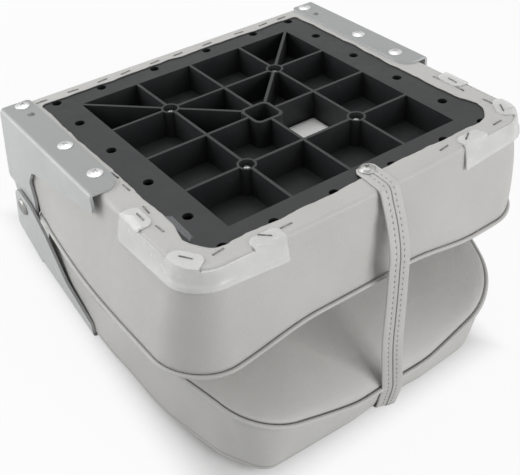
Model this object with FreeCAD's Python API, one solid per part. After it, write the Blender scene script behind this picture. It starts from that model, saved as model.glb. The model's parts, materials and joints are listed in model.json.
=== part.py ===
import FreeCAD, Part
import math
import os

V = FreeCAD.Vector

# Low back folding chair, closed and lying on the rear of its backrest, sizes in millimetres.
# The part stands on z = 0, x runs across the chair and -y points to its front edge.
# The seat is drawn in its own frame: rim face of the pan at z = 0, +z out of the underside.

# Fold
FOLD_ANGLE = 15.0            # underside of the closed seat against the floor
PIVOT_HEIGHT = 62.0          # fold axis above the floor
PIVOT_SETBACK = 33.0         # fold axis behind the hinge end of the back
PIVOT_DEPTH = 106.0          # fold axis below the rim face of the pan
PIVOT_INSET = 7.8            # fold axis before the rear edge of the pan

# Seat pan
CELL = 63.5                  # rib pitch, half of the 127 mm pedestal bolt square
CELL_DEPTH = 28.0
RIB = 3.0
PAN_WALL = 3.0
PAN_FLOOR = 3.0
RIM_THICKNESS = 4.0
RIM_SIDE = 55.0              # rim width from the rib field to the side edge
RIM_FRONT = 36.0
RIM_REAR = 34.5
PAN_CORNER = 26.0
PAN_CORNER_REAR = 10.0
RIM_HOLE_D = 9.5
RIM_HOLE_INSET = 18.0        # row of rim holes outside the rib field
RIM_HOLE_MID = 32.8          # hole offsets along a side, from its middle
RIM_HOLE_END = 95.3
BOSS_D = 18.0
WELL_D = 14.0
WELL_DEPTH = 5.0
SOCKET = 32.5                # square socket in the middle of the rib field
SOCKET_CORNER = 7.0
SCREW_BOSS_D = 11.0
SCREW_BOSS_DEPTH = 20.0

# Upholstery
COVER = 1.3                  # vinyl
FOAM_GAP = 0.2               # foam to vinyl
PIPING_D = 5.0
PIPING_OUT = 1.8             # piping centre line outside the seam
TURN_SIDE = 22.0             # vinyl turned onto the rim, from the pan edge to its cut edge
TURN_FRONT = 17.0
TURN_REAR = 11.5
TURN_CORNER = 24.0
TURN_CORNER_REAR = 6.0
SEAT_EDGE = 4.0              # fold of the vinyl outside the pan edge
SEAT_ROLL = 6.5              # boxing outside the pan edge, below the fold
SEAT_ROLL_DEPTH = 7.0
SEAT_FRONT_DEPTH = 105.0     # rim face to piping at the front edge
SEAT_REAR_DEPTH = 103.0
SEAT_FLARE_FRONT = 24.0      # piping outside the pan edge
SEAT_FLARE_REAR = 9.0
SEAT_LEAN_FRONT = 10.0
SEAT_LEAN_REAR = 4.5
SEAT_SWELL = 1.5             # bulge of the boxing between pan and piping
SEAT_CORNER_FRONT = 50.0
SEAT_CORNER_REAR = 70.0
SEAT_BOW = 4.0               # bow of the front edge
SEAT_CROWN = 14.0
CROWN_STEPS = ((1.0, 0.0), (0.94, 0.45), (0.78, 0.8), (0.5, 1.0))   # size and rise of a crown's contours

# Hinge brackets of the seat
BRACKET = 3.0                # sheet of brackets and arms
BEND_R = 4.5                 # outside radius of a bend
BRACKET_STANDOFF = 11.5      # web outside the pan edge
FLANGE = 31.0
FLANGE_FRONT = 185.0         # front end of the flange before the pan's rear edge
FLANGE_CORNER = 15.0
BRACKET_REAR = 2.0           # rear end of the flange behind the pan
BRACKET_SCREWS = (7.0, 101.0, 158.5)   # before the pan's rear edge
BRACKET_SPARE = 28.0         # spare hole before the pan's rear edge
SPARE_D = 8.0
BRACKET_SCREW_INSET = 5.5    # screw line inside the pan's side edge
WEB_FRONT_DEPTH = 20.0       # web below the flange at its front end
WEB_MID_DEPTH = 48.0         # web below the flange at the cut-out
WEB_MID_BEFORE = 41.0        # cut-out before the fold axis
EAR_R = 20.0

# Backrest
BACK_REAR = 7.0              # rear face above the floor, on the closing panel
BACK_LENGTH = 331.0          # top edge to hinge end, at the widest level
BACK_HINGE_X = 192.0         # half widths: at the hinge end, at the widest place and at the top edge
BACK_WIDE_X = 199.0
BACK_TOP_X = 143.0
BACK_WIDE_BEFORE = 156.0     # widest place before the hinge end
BACK_SEAM_HINGE_X = 187.0    # and of the piping seam
BACK_SEAM_WIDE_X = 188.0
BACK_SEAM_TOP_X = 147.0
BACK_SEAM_WIDE_BEFORE = 183.0
BACK_CORNER_TOP = 22.0
BACK_SEAM_CORNER = 52.0
BACK_CORNER_HINGE = 30.0
BACK_SIDE_R = 300.0          # rounding of the side at its widest place
BACK_ROLL = 6.0              # rounding of the rear edge
BACK_ROLL_HEIGHT = 5.0
BACK_TOP_HEIGHT = 66.0       # piping above the floor at the top edge
BACK_HINGE_HEIGHT = 40.0     # and at the hinge end
BACK_SETBACK = 5.0           # piping seam inside the widest level at the top edge
BACK_CROWN = 18.0
BACK_BOW = 4.0
BACK_TURN = 58.0             # vinyl turned onto the rear
FRAME_THICKNESS = 10.0
FRAME_GAP = 0.5              # frame to vinyl
REAR_PANEL_INSET = 37.0      # closing panel inside the top edge
REAR_PANEL_HINGE = 18.0      # and inside the hinge end
REAR_PANEL_SIDE = 4.0        # closing panel to arm flange
REAR_PANEL_TAPER = 23.0      # closing panel narrower at its top, each side
REAR_PANEL_SHOULDER = 70.0
REAR_PANEL_CORNER = 16.0

# Arms of the back
ARM_GAP = 1.0                # washer between ear and arm
ARM_FLANGE = 42.0
ARM_END_BEFORE = 145.0       # front end of the arm before the fold axis
ARM_END_HEIGHT = 16.0
ARM_WAIST_BEFORE = 88.0
ARM_WAIST_HEIGHT = 31.0
ARM_KNEE_BEFORE = 46.0
ARM_KNEE_HEIGHT = 64.0
ARM_BEHIND = 20.0            # rear edge of the arm behind the fold axis
ARM_HEEL = 13.0              # rear lower corner above the flange
ARM_TOP = 17.0               # arm above the fold axis
ARM_SCREWS = (56.0, 92.0, 128.0)     # before the fold axis
ARM_SCREW_INSET = 30.5       # screw line inside the arm's outer face

# Fasteners
SCREW_HEAD_D = 14.5
SCREW_HEAD = 2.4
SCREW_D = 4.2
SCREW_LENGTH = 14.0
HOLE_PLAY = 0.4              # screw hole in sheet metal, in radius
PAN_SCREW_HEAD_D = 11.0
PAN_SCREW_HEAD = 3.0
PAN_SCREW_D = 6.35
PAN_SCREW_LENGTH = 15.0
HEAD_PLAY = 0.6
RECESS = 1.3                 # width of a cross recess
RECESS_DEPTH = 1.0
RIVET_D = 10.0
RIVET_HEAD_D = 18.0
RIVET_HEAD = 3.0
RIVET_PLAY = 0.1             # rivet in the ear, in radius
WASHER_D = 27.0
PIVOT_CAP_D = 24.0
PIVOT_CAP = 6.0              # cap on the inner end of the rivet
PIVOT_CAP_FACE = 2.0

# Closing strap
STRAP_X = 8.0
STRAP_WIDTH = 20.0
STRAP = 2.2
STRAP_END = 8.5              # strap past its screw
STRAP_SCREW_INSET = 23.0     # strap screw behind the pan's front edge
STRAP_DIP = 7.0              # strap pressed into the piping of the back
STRAP_DIP_WIDE = 3.0         # and into its widest level
STRAP_DIP_HALF = 46.0
STRAP_UNDER = 33.0           # strap under the back, from its fold to its end
STRAP_BENDS = (0, 6, 60, 60, 9, 0)     # rounding of the strap at its bends
STRAP_DROP = 5.5             # lower face of the strap below the back's rear face
STRAP_STAND = 13.0           # taut strap before the seat's seam
STRAP_LEAVE = 72.0           # taut length begins below the rim face
STRAP_GAP = 1.0              # strap to the back's piping, at the strap's middle
STRAP_FOLD = 3.5             # strap before the back's top edge where it turns under
CUP_D = 15.5
CUP = 2.0
SNAP_D = 11.0
SNAP_KNOB_D = 4.6
SNAP_PLAY = 0.25
SNAP_CAP = 0.9

# Corner guards
GUARD = 1.3
GUARD_GAP = 0.1
GUARD_HEIGHT = 22.0
GUARD_SIDE = 103.5           # guard along the side, from the pan's front edge
GUARD_FRONT = 82.0           # guard along the front, from the pan's side edge
GUARD_TAB = 10.0             # tips of the folded tabs inside the pan's edge
GUARD_TAB_WIDTH = 29.0
GUARD_TAB_CORNER = 7.0
GUARD_CORNER_TAB = (11.5, 25.5)      # tip of the corner tab inside the pan's side and front edges
GUARD_CORNER_TURN = 34.0     # direction of the corner tab, from across the chair

# Derived places in the seat frame
FIELD = 2 * CELL
PAN_X = FIELD + RIM_SIDE
PAN_FRONT = FIELD + RIM_FRONT
PAN_REAR = FIELD + RIM_REAR
PAN_DEPTH = CELL_DEPTH + PAN_FLOOR
PIVOT_Y = PAN_REAR - PIVOT_INSET
WEB_IN = PAN_X + BRACKET_STANDOFF
WEB_OUT = WEB_IN + BRACKET
ARM_IN = WEB_OUT + ARM_GAP
ARM_OUT = ARM_IN + BRACKET
FLANGE_TOP = COVER + BRACKET
BRACKET_SCREW_X = PAN_X - BRACKET_SCREW_INSET
STRAP_SCREW_Y = STRAP_SCREW_INSET - PAN_FRONT

# Derived places above the floor
ARM_FOOT = BACK_REAR - BRACKET
BACK_WIDE = BACK_REAR + BACK_ROLL_HEIGHT
FRAME_INSET = BACK_ROLL + COVER + FRAME_GAP
STRAP_LOW = BACK_REAR - STRAP_DROP
HINGE_END = 0.0
FOLD_Y = HINGE_END + PIVOT_SETBACK
TOP_EDGE = HINGE_END - BACK_LENGTH


def rounded_edges(points, radii, closed=True):
    """Lines and tangent arcs through a row of corners, each rounded by its own radius."""
    count = len(points)
    starts, ends, arcs = [], [], []
    for i, (corner, radius) in enumerate(zip(points, radii)):
        if not closed and i in (0, count - 1):
            starts.append(corner)
            ends.append(corner)
            arcs.append(None)
            continue
        before = (corner - points[i - 1]).normalize()
        after = (points[(i + 1) % count] - corner).normalize()
        half = before.getAngle(after) / 2
        reach = radius * math.tan(half)
        middle = (after - before).normalize()
        centre = corner + middle * (radius / math.cos(half))
        starts.append(corner - before * reach)
        ends.append(corner + after * reach)
        arcs.append(centre - middle * radius)
    edges = []
    for i in range(count):
        if arcs[i] is not None:
            edges.append(Part.Arc(starts[i], arcs[i], ends[i]).toShape())
        if closed or i < count - 1:
            edges.append(Part.LineSegment(ends[i], starts[(i + 1) % count]).toShape())
    return edges


def inset_corners(points, radii, inset):
    """Move every side of a counter-clockwise outline inwards; inner corners widen as outer ones shrink."""
    count = len(points)
    moved, new_radii = [], []
    for i, (corner, radius) in enumerate(zip(points, radii)):
        before = (corner - points[i - 1]).normalize()
        after = (points[(i + 1) % count] - corner).normalize()
        turn = before.x * after.y - before.y * after.x
        normal_1 = V(-before.y, before.x, 0)
        normal_2 = V(-after.y, after.x, 0)
        middle = (normal_1 + normal_2).normalize()
        moved.append(corner + middle * (inset / middle.dot(normal_1)))
        new_radii.append(max(radius - math.copysign(inset, turn), 1.0))
    return moved, new_radii


def outline(corners, inset=0.0, height=0.0, slope=0.0, lift=0.0):
    """Closed wire of a rounded outline on a level or sloping plane."""
    points, radii = inset_corners(*corners, inset)
    wire = Part.Wire(rounded_edges(points, radii))
    wire.translate(V(0, 0, lift))
    wire.rotate(V(0, 0, 0), V(1, 0, 0), slope)
    wire.translate(V(0, 0, height))
    return wire


def plate(wire, thickness):
    return Part.Face(wire).extrude(V(0, 0, thickness))


def side_plate(points, radii, x, thickness):
    """Sheet standing across x, from an outline given as (y, z) corners."""
    corners = [V(x, y, z) for y, z in points]
    return Part.Face(Part.Wire(rounded_edges(corners, radii))).extrude(V(thickness, 0, 0))


def post(x, y, z_low, z_high, diameter):
    return Part.makeCylinder(diameter / 2, z_high - z_low, V(x, y, z_low))


def block(x0, x1, y0, y1, z0, z1):
    return Part.makeBox(x1 - x0, y1 - y0, z1 - z0, V(x0, y0, z0))


def join(shapes):
    shapes = list(shapes)
    return shapes[0].multiFuse(shapes[1:]).removeSplitter() if len(shapes) > 1 else shapes[0]


def mirrored(shape):
    return shape.mirror(V(0, 0, 0), V(1, 0, 0))


def seat_placed(shape):
    """Carry a piece from the seat frame onto the closed chair, about the fold axis."""
    moved = shape.copy()
    moved.translate(V(0, FOLD_Y - PIVOT_Y, PIVOT_HEIGHT + PIVOT_DEPTH))
    moved.rotate(V(0, FOLD_Y, PIVOT_HEIGHT), V(1, 0, 0), -FOLD_ANGLE)
    return moved


def seat_point(y, z):
    """A point of the seat's middle plane, on the closed chair."""
    angle = math.radians(FOLD_ANGLE)
    dy = y - PIVOT_Y
    dz = z + PIVOT_DEPTH
    return (FOLD_Y + dy * math.cos(angle) + dz * math.sin(angle),
            PIVOT_HEIGHT - dy * math.sin(angle) + dz * math.cos(angle))


def domed_screw(head_d, head, shank_d, length):
    """Screw with a low domed head and a cross recess, standing under z = 0 with its head above."""
    rim = head * 0.25
    dome = head - rim
    ball_r = (head_d ** 2 / 4 + dome ** 2) / (2 * dome)
    ball = Part.makeSphere(ball_r, V(0, 0, head - ball_r))
    screw = join([post(0, 0, 0, head, head_d).common(ball), post(0, 0, -length, 0, shank_d)])
    reach = head_d * 0.21
    bottom = head - RECESS_DEPTH
    for angle in (0, 90):
        slot = block(-reach, reach, -RECESS / 2, RECESS / 2, bottom, head)
        slot.rotate(V(0, 0, 0), V(0, 0, 1), angle + 45)
        screw = screw.cut(slot)
    return screw


def at(shape, x, y, z):
    moved = shape.copy()
    moved.translate(V(x, y, z))
    return moved


# Outlines of the seat, counter-clockwise from the front left corner

def seat_corners(half_front, half_rear, front, rear, r_front, r_rear, bow):
    """Corners and radii of a seat section; the front edge bows out in the middle."""
    points = [V(-half_front, -front, 0), V(0, -front - bow, 0), V(half_front, -front, 0),
              V(half_rear, rear, 0), V(-half_rear, rear, 0)]
    bow_radius = 0.2 * half_front ** 2 / bow
    return points, [r_front, bow_radius, r_front, r_rear, r_rear]


def pan_section(grow):
    """Section that follows the pan's edge, grown outwards."""
    return seat_corners(PAN_X + grow, PAN_X + grow, PAN_FRONT + grow - SEAT_BOW, PAN_REAR + grow,
                        PAN_CORNER + grow, PAN_CORNER_REAR + grow, SEAT_BOW)


def seam_section(share, swell=0.0):
    """Section between the rolled edge and the piping seam; share 1 is the seam."""
    roll = (1 - share) * SEAT_ROLL + swell
    front_r = PAN_CORNER + SEAT_ROLL
    rear_r = PAN_CORNER_REAR + SEAT_ROLL
    return seat_corners(PAN_X + roll + share * SEAT_FLARE_FRONT, PAN_X + roll + share * SEAT_FLARE_REAR,
                        PAN_FRONT + roll + share * SEAT_LEAN_FRONT - SEAT_BOW,
                        PAN_REAR + roll + share * SEAT_LEAN_REAR,
                        front_r + share * (SEAT_CORNER_FRONT - front_r),
                        rear_r + share * (SEAT_CORNER_REAR - rear_r), SEAT_BOW)


SEAT_SEAM_LENGTH = PAN_FRONT + SEAT_LEAN_FRONT + PAN_REAR + SEAT_LEAN_REAR
SEAT_SLOPE = math.degrees(math.atan((SEAT_FRONT_DEPTH - SEAT_REAR_DEPTH) / SEAT_SEAM_LENGTH))
SEAT_SEAM_Z = -SEAT_FRONT_DEPTH + (PAN_FRONT + SEAT_LEAN_FRONT) * math.tan(math.radians(SEAT_SLOPE))


def seat_base(inset, top):
    """Seat body from its underside to the seam of the piping."""
    middle = (SEAT_ROLL_DEPTH - SEAT_SEAM_Z) / 2
    return Part.makeLoft([
        outline(pan_section(SEAT_EDGE), inset, top),
        outline(pan_section(SEAT_ROLL), inset, -SEAT_ROLL_DEPTH),
        outline(seam_section(0.5, SEAT_SWELL), inset, -middle, SEAT_SLOPE / 2),
        outline(seam_section(1.0), inset, SEAT_SEAM_Z, SEAT_SLOPE),
    ], True)


def crowned(corners, inset, slope, height, rise, out):
    """Cap of a cushion above its seam, swelling to its middle; out is the side that it swells to."""
    points, radii = inset_corners(*corners, inset)
    middle = V(0, (min(point.y for point in points) + max(point.y for point in points)) / 2, 0)
    sections = []
    for scale, share in CROWN_STEPS:
        shrunk = [middle + (point - middle) * scale for point in points]
        contour = shrunk, [radius * scale for radius in radii]
        sections.append(outline(contour, 0.0, height, slope, out * share * (rise - inset)))
    return Part.makeLoft(sections, True)


# Outlines of the back, counter-clockwise from the top left corner

def back_corners(half_top, half_wide, half_hinge, top, wide, r_top, dip):
    """Corners and radii of a back section, with the dip that the strap presses into its top edge."""
    points = [V(-half_top, top + BACK_BOW, 0), V(STRAP_X - STRAP_DIP_HALF, top, 0), V(STRAP_X, top + dip, 0),
              V(STRAP_X + STRAP_DIP_HALF, top, 0), V(half_top, top + BACK_BOW, 0), V(half_wide, wide, 0),
              V(half_hinge, HINGE_END, 0), V(-half_hinge, HINGE_END, 0), V(-half_wide, wide, 0)]
    shoulder = 3 * STRAP_DIP_HALF
    return points, [r_top, shoulder, DIP_HOLLOW_R, shoulder, r_top, BACK_SIDE_R,
                    BACK_CORNER_HINGE, BACK_CORNER_HINGE, BACK_SIDE_R]


def wide_section():
    return back_corners(BACK_TOP_X, BACK_WIDE_X, BACK_HINGE_X, TOP_EDGE, HINGE_END - BACK_WIDE_BEFORE,
                        BACK_CORNER_TOP, STRAP_DIP_WIDE)


def dip_depth(dip):
    """Depth that the rounded bottom of the dip reaches."""
    slant = math.hypot(STRAP_DIP_HALF, dip)
    return dip - DIP_HOLLOW_R * (slant / STRAP_DIP_HALF - 1)


DIP_HOLLOW_R = 2 * STRAP_DIP_HALF
SEAM_TOP = TOP_EDGE + BACK_SETBACK
BACK_SLOPE = math.degrees(math.atan((BACK_HINGE_HEIGHT - BACK_TOP_HEIGHT) / (HINGE_END - SEAM_TOP)))
BACK_SEAM_Z = BACK_TOP_HEIGHT - SEAM_TOP * math.tan(math.radians(BACK_SLOPE))


def back_seam():
    """Seam of the back's piping, drawn in its own sloping plane."""
    return back_corners(BACK_SEAM_TOP_X, BACK_SEAM_WIDE_X, BACK_SEAM_HINGE_X, SEAM_TOP,
                        HINGE_END - BACK_SEAM_WIDE_BEFORE, BACK_SEAM_CORNER, STRAP_DIP)


def back_base(inset, bottom):
    return Part.makeLoft([
        outline(wide_section(), inset + BACK_ROLL, bottom),
        outline(wide_section(), inset, BACK_WIDE),
        outline(back_seam(), inset, BACK_SEAM_Z, BACK_SLOPE),
    ], True, True)


def piping(corners, height, slope):
    """Round cord along a seam."""
    lengths = []
    for edge in outline(corners, -PIPING_OUT, height, slope).Edges:
        start = edge.valueAt(edge.FirstParameter)
        along = edge.tangentAt(edge.FirstParameter)
        disc = Part.Face(Part.Wire(Part.makeCircle(PIPING_D / 2, start, along)))
        if edge.Curve.TypeId == "Part::GeomCircle":
            turn = math.degrees(edge.LastParameter - edge.FirstParameter)
            lengths.append(disc.revolve(edge.Curve.Center, edge.Curve.Axis, turn))
        else:
            lengths.append(disc.extrude(edge.valueAt(edge.LastParameter) - start))
    return join(lengths)


# Seat

def seat_pan():
    edge = pan_section(0.0)
    body = plate(outline(edge), -PAN_DEPTH)
    hollow = plate(outline(edge, PAN_WALL, -RIM_THICKNESS), -PAN_DEPTH)
    outer = FIELD + PAN_WALL
    tray = block(-outer, outer, -outer, outer, -PAN_DEPTH, 0)
    field = block(-FIELD, FIELD, -FIELD, FIELD, -CELL_DEPTH, 0)
    bosses = [post(x, y, -SCREW_BOSS_DEPTH, 0, SCREW_BOSS_D).common(body) for x, y in rim_screw_places()]
    pan = join([body.cut(hollow), tray] + bosses).cut(field)
    ribs = []
    for i in (-1, 0, 1):
        ribs.append(block(i * CELL - RIB / 2, i * CELL + RIB / 2, -FIELD, FIELD, -CELL_DEPTH, 0))
        ribs.append(block(-FIELD, FIELD, i * CELL - RIB / 2, i * CELL + RIB / 2, -CELL_DEPTH, 0))
    for side in (-1, 1):
        brace = block(0, FIELD * math.sqrt(2), -RIB / 2, RIB / 2, -CELL_DEPTH, 0)
        brace.rotate(V(0, 0, 0), V(0, 0, 1), 90 - side * 45)
        ribs.append(brace.common(block(-FIELD, FIELD, 0, FIELD, -CELL_DEPTH, 0)))
    ribs += [post(x, y, -CELL_DEPTH, 0, BOSS_D) for x, y in pedestal_places()]
    ribs.append(rounded_block(SOCKET, SOCKET_CORNER, -CELL_DEPTH))
    pan = join([pan] + ribs)
    pan = pan.cut(rounded_block(SOCKET - 2 * RIB, SOCKET_CORNER - RIB / 2, -CELL_DEPTH))
    for x, y in pedestal_places():
        pan = pan.cut(post(x, y, -WELL_DEPTH, 0, WELL_D))
        pan = pan.cut(post(x, y, -WELL_DEPTH - PAN_SCREW_HEAD, 0, PAN_SCREW_HEAD_D + 2 * HEAD_PLAY))
        pan = pan.cut(post(x, y, -WELL_DEPTH - PAN_SCREW_HEAD - PAN_SCREW_LENGTH, 0, PAN_SCREW_D))
    holes = [post(x, y, -RIM_THICKNESS, 0, RIM_HOLE_D) for x, y in rim_hole_places()]
    holes += [post(x, y, FLANGE_TOP - SCREW_LENGTH, 0, SCREW_D) for x, y in bracket_screw_places()]
    holes.append(post(STRAP_X, STRAP_SCREW_Y, -SCREW_LENGTH, 0, SCREW_D))
    return pan.cut(Part.makeCompound(holes))


def rounded_block(size, corner, depth):
    half = size / 2
    points = [V(-half, -half, 0), V(half, -half, 0), V(half, half, 0), V(-half, half, 0)]
    return plate(outline((points, [corner] * 4)), depth)


def pedestal_places():
    return [(x * CELL, y * CELL) for x in (-1, 1) for y in (-1, 1)]


def rim_hole_places():
    """Two rows of holes along each side of the rim and one in every corner."""
    row = FIELD + RIM_HOLE_INSET
    places = [(x * row, y * row) for x in (-1, 1) for y in (-1, 1)]
    for along in (-RIM_HOLE_END, -RIM_HOLE_MID, RIM_HOLE_MID, RIM_HOLE_END):
        places += [(along, -row), (along, row), (-row, along), (row, along)]
    return places


def bracket_screw_places():
    return [(side * BRACKET_SCREW_X, PAN_REAR - y) for side in (-1, 1) for y in BRACKET_SCREWS]


def rim_screw_places():
    return bracket_screw_places() + [(STRAP_X, STRAP_SCREW_Y)]


def pan_screws():
    screw = domed_screw(PAN_SCREW_HEAD_D, PAN_SCREW_HEAD, PAN_SCREW_D, PAN_SCREW_LENGTH)
    return Part.makeCompound([at(screw, x, y, -WELL_DEPTH - PAN_SCREW_HEAD) for x, y in pedestal_places()])


def turn_window():
    """Opening left between the cut edges of the vinyl on the rim."""
    half = PAN_X - TURN_SIDE
    points = [V(-half, TURN_FRONT - PAN_FRONT, 0), V(half, TURN_FRONT - PAN_FRONT, 0),
              V(half, PAN_REAR - TURN_REAR, 0), V(-half, PAN_REAR - TURN_REAR, 0)]
    radii = [TURN_CORNER, TURN_CORNER, TURN_CORNER_REAR, TURN_CORNER_REAR]
    return plate(outline((points, radii)), 2 * FLANGE_TOP)


def seat_boxing(cord):
    skin = seat_base(0.0, COVER).cut(seat_base(COVER, 0.0)).cut(turn_window())
    holes = [post(x, y, 0, COVER, SCREW_D + 2 * HOLE_PLAY) for x, y in bracket_screw_places()]
    return skin.cut(Part.makeCompound(holes)).cut(cord)


def seat_cap(inset):
    return crowned(seam_section(1.0), inset, SEAT_SLOPE, SEAT_SEAM_Z, SEAT_CROWN, -1)


def seat_foam():
    inset = COVER + FOAM_GAP
    reach = 2 * (PAN_X + SEAT_FLARE_FRONT)
    below = block(-reach, reach, -reach, reach, -reach, -PAN_DEPTH)
    return seat_base(inset, 0.0).common(below).fuse(seat_cap(inset)).removeSplitter()


def guard_tab(x, y, turn):
    """Prism of a tab on the underside, its rounded tip at (x, y), turned from across the chair."""
    half = GUARD_TAB_WIDTH / 2
    points = [V(-RIM_SIDE, -half, 0), V(0, -half, 0), V(0, half, 0), V(-RIM_SIDE, half, 0)]
    prism = plate(outline((points, [1, GUARD_TAB_CORNER, GUARD_TAB_CORNER, 1])), GUARD_HEIGHT)
    prism.rotate(V(0, 0, 0), V(0, 0, 1), turn)
    return at(prism, x, y, -GUARD_HEIGHT / 2)


def corner_guard():
    """Band round the front left corner with three tabs folded onto the underside."""
    grown = seat_base(-GUARD_GAP - GUARD, COVER + GUARD_GAP + GUARD)
    shell = grown.cut(seat_base(-GUARD_GAP, COVER + GUARD_GAP))
    left = -PAN_X - RIM_SIDE
    front = -PAN_FRONT - RIM_SIDE
    right = GUARD_FRONT - PAN_X
    rear = GUARD_SIDE - PAN_FRONT
    band = block(left, right, front, rear, -GUARD_HEIGHT, 0)
    side_in, front_in = GUARD_CORNER_TAB
    tabs = [guard_tab(GUARD_TAB - PAN_X, rear - GUARD_TAB_WIDTH / 2, 0),
            guard_tab(right - GUARD_TAB_WIDTH / 2, GUARD_TAB - PAN_FRONT, 90),
            guard_tab(side_in - PAN_X, front_in - PAN_FRONT, GUARD_CORNER_TURN)]
    return shell.common(join([band] + tabs))


def hinge_bracket():
    """Left bracket: flange on the underside, web down the side and ear at the fold axis."""
    front = PAN_REAR - FLANGE_FRONT
    rear = PAN_REAR + BRACKET_REAR
    ear = -PIVOT_DEPTH
    web = side_plate([
        (front, FLANGE_TOP), (front - 2, FLANGE_TOP - WEB_FRONT_DEPTH),
        (PIVOT_Y - WEB_MID_BEFORE, FLANGE_TOP - WEB_MID_DEPTH), (PIVOT_Y - 1.3 * EAR_R, ear + 2.15 * EAR_R),
        (PIVOT_Y - 1.4 * EAR_R, ear + 1.05 * EAR_R), (PIVOT_Y - EAR_R, ear - EAR_R),
        (PIVOT_Y + EAR_R, ear - EAR_R), (PIVOT_Y + 1.1 * EAR_R, ear + 0.95 * EAR_R),
        (PIVOT_Y + 1.75 * EAR_R, ear + 1.05 * EAR_R), (rear, FLANGE_TOP)],
        [1, 9, 14, 10, 14, 0.9 * EAR_R, 0.85 * EAR_R, 3, 4, 1], -WEB_OUT, BRACKET)
    inner = FLANGE - WEB_OUT
    points = [V(-WEB_OUT, front, COVER), V(inner, front, COVER), V(inner, rear, COVER),
              V(-WEB_OUT, rear, COVER)]
    flange = Part.Face(Part.Wire(rounded_edges(points, [1, FLANGE_CORNER, 4, 1]))).extrude(V(0, 0, BRACKET))
    bracket = web.fuse(flange).removeSplitter()
    bracket = bracket.cut(bend_cutter(-WEB_OUT, FLANGE_TOP, front - BEND_R, rear + BEND_R, -1))
    holes = [post(-BRACKET_SCREW_X, PAN_REAR - y, 0, FLANGE_TOP, SCREW_D + 2 * HOLE_PLAY)
             for y in BRACKET_SCREWS]
    holes.append(post(-BRACKET_SCREW_X, PAN_REAR - BRACKET_SPARE, 0, FLANGE_TOP, SPARE_D))
    pin = Part.makeCylinder(RIVET_D / 2 + RIVET_PLAY, 2 * BRACKET, V(-WEB_OUT, PIVOT_Y, ear), V(1, 0, 0))
    return bracket.cut(Part.makeCompound(holes + [pin]))


def bend_cutter(x, z, front, rear, down):
    """What a bend of the sheet takes off the left outer corner at (x, z); down is the way into the sheet."""
    low = min(z, z + down * BEND_R)
    corner = block(x, x + BEND_R, front, rear, low, low + BEND_R)
    centre = V(x + BEND_R, front, z + down * BEND_R)
    return corner.cut(Part.makeCylinder(BEND_R, rear - front, centre, V(0, 1, 0)))


def bracket_screws():
    screw = domed_screw(SCREW_HEAD_D, SCREW_HEAD, SCREW_D, SCREW_LENGTH)
    return Part.makeCompound([at(screw, -BRACKET_SCREW_X, PAN_REAR - y, FLANGE_TOP) for y in BRACKET_SCREWS])


# Closing strap, on the closed chair

STRAP_Z = COVER + STRAP / 2
SNAP_INSET = SNAP_D


def strap_points():
    """Middle line of the strap, from its screw over the seat's front edge and under the back's top edge."""
    lean = STRAP_STAND + PAN_FRONT + SEAT_LEAN_FRONT
    under = STRAP_LOW + STRAP / 2
    edge = PAN_FRONT + SEAT_ROLL + STRAP
    touch = SEAM_TOP + dip_depth(STRAP_DIP) - PIPING_OUT - PIPING_D / 2 - STRAP_GAP - STRAP / 2
    fold = TOP_EDGE - STRAP_FOLD
    return [seat_point(STRAP_SCREW_Y + STRAP_END, STRAP_Z), seat_point(-edge, STRAP_Z),
            seat_point(-lean, -STRAP_LEAVE), (touch, BACK_TOP_HEIGHT), (fold, under),
            (fold + STRAP_UNDER, under)]


def strap_path(points):
    corners = [V(STRAP_X, y, z) for y, z in points]
    return Part.Wire(rounded_edges(corners, STRAP_BENDS, closed=False))


def strap():
    points = strap_points()
    path = strap_path(points)
    (y0, z0), (y1, z1) = points[0], points[1]
    along = V(0, y1 - y0, z1 - z0).normalize()
    across = V(0, -along.z, along.y) * (STRAP / 2)
    start = V(STRAP_X, y0, z0)
    side = V(STRAP_WIDTH / 2, 0, 0)
    corners = [start - side - across, start + side - across, start + side + across, start - side + across]
    band = path.makePipeShell([Part.makePolygon(corners + corners[:1])], True, False)
    hole = seat_placed(post(STRAP_X, STRAP_SCREW_Y, 0, 3 * STRAP, SCREW_D + 2 * HOLE_PLAY))
    y, _ = points[-1]
    eyelet = post(STRAP_X, y - SNAP_INSET, 0, BACK_REAR, SNAP_KNOB_D)
    return band.cut(hole).cut(eyelet)


def strap_washer():
    """Cup washer under the strap's screw."""
    z = COVER + STRAP
    cup = Part.makeCone(CUP_D / 2, CUP_D / 2 - CUP, CUP, V(STRAP_X, STRAP_SCREW_Y, z))
    seat = Part.makeCone(SCREW_D / 2, CUP_D / 2 - CUP - 0.6, CUP, V(STRAP_X, STRAP_SCREW_Y, z))
    return cup.cut(seat)


def strap_screw():
    """Countersunk screw of the strap, sitting in its cup washer."""
    z = COVER + STRAP
    head_r = CUP_D / 2 - CUP - 0.6
    head = Part.makeCone(SCREW_D / 2, head_r, CUP, V(STRAP_X, STRAP_SCREW_Y, z))
    shank = post(STRAP_X, STRAP_SCREW_Y, -SCREW_LENGTH, z, SCREW_D)
    top = Part.makeCone(head_r, 0.55 * head_r, 0.8, V(STRAP_X, STRAP_SCREW_Y, z + CUP))
    screw = join([head, shank, top])
    for angle in (20, 110):
        slot = block(-0.5 * head_r, 0.5 * head_r, -RECESS / 2, RECESS / 2, z + CUP - 0.4, z + CUP + 0.8)
        slot.rotate(V(0, 0, 0), V(0, 0, 1), angle)
        slot.translate(V(STRAP_X, STRAP_SCREW_Y, 0))
        screw = screw.cut(slot)
    return screw


def snap_place():
    y, _ = strap_points()[-1]
    return y - SNAP_INSET


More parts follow.
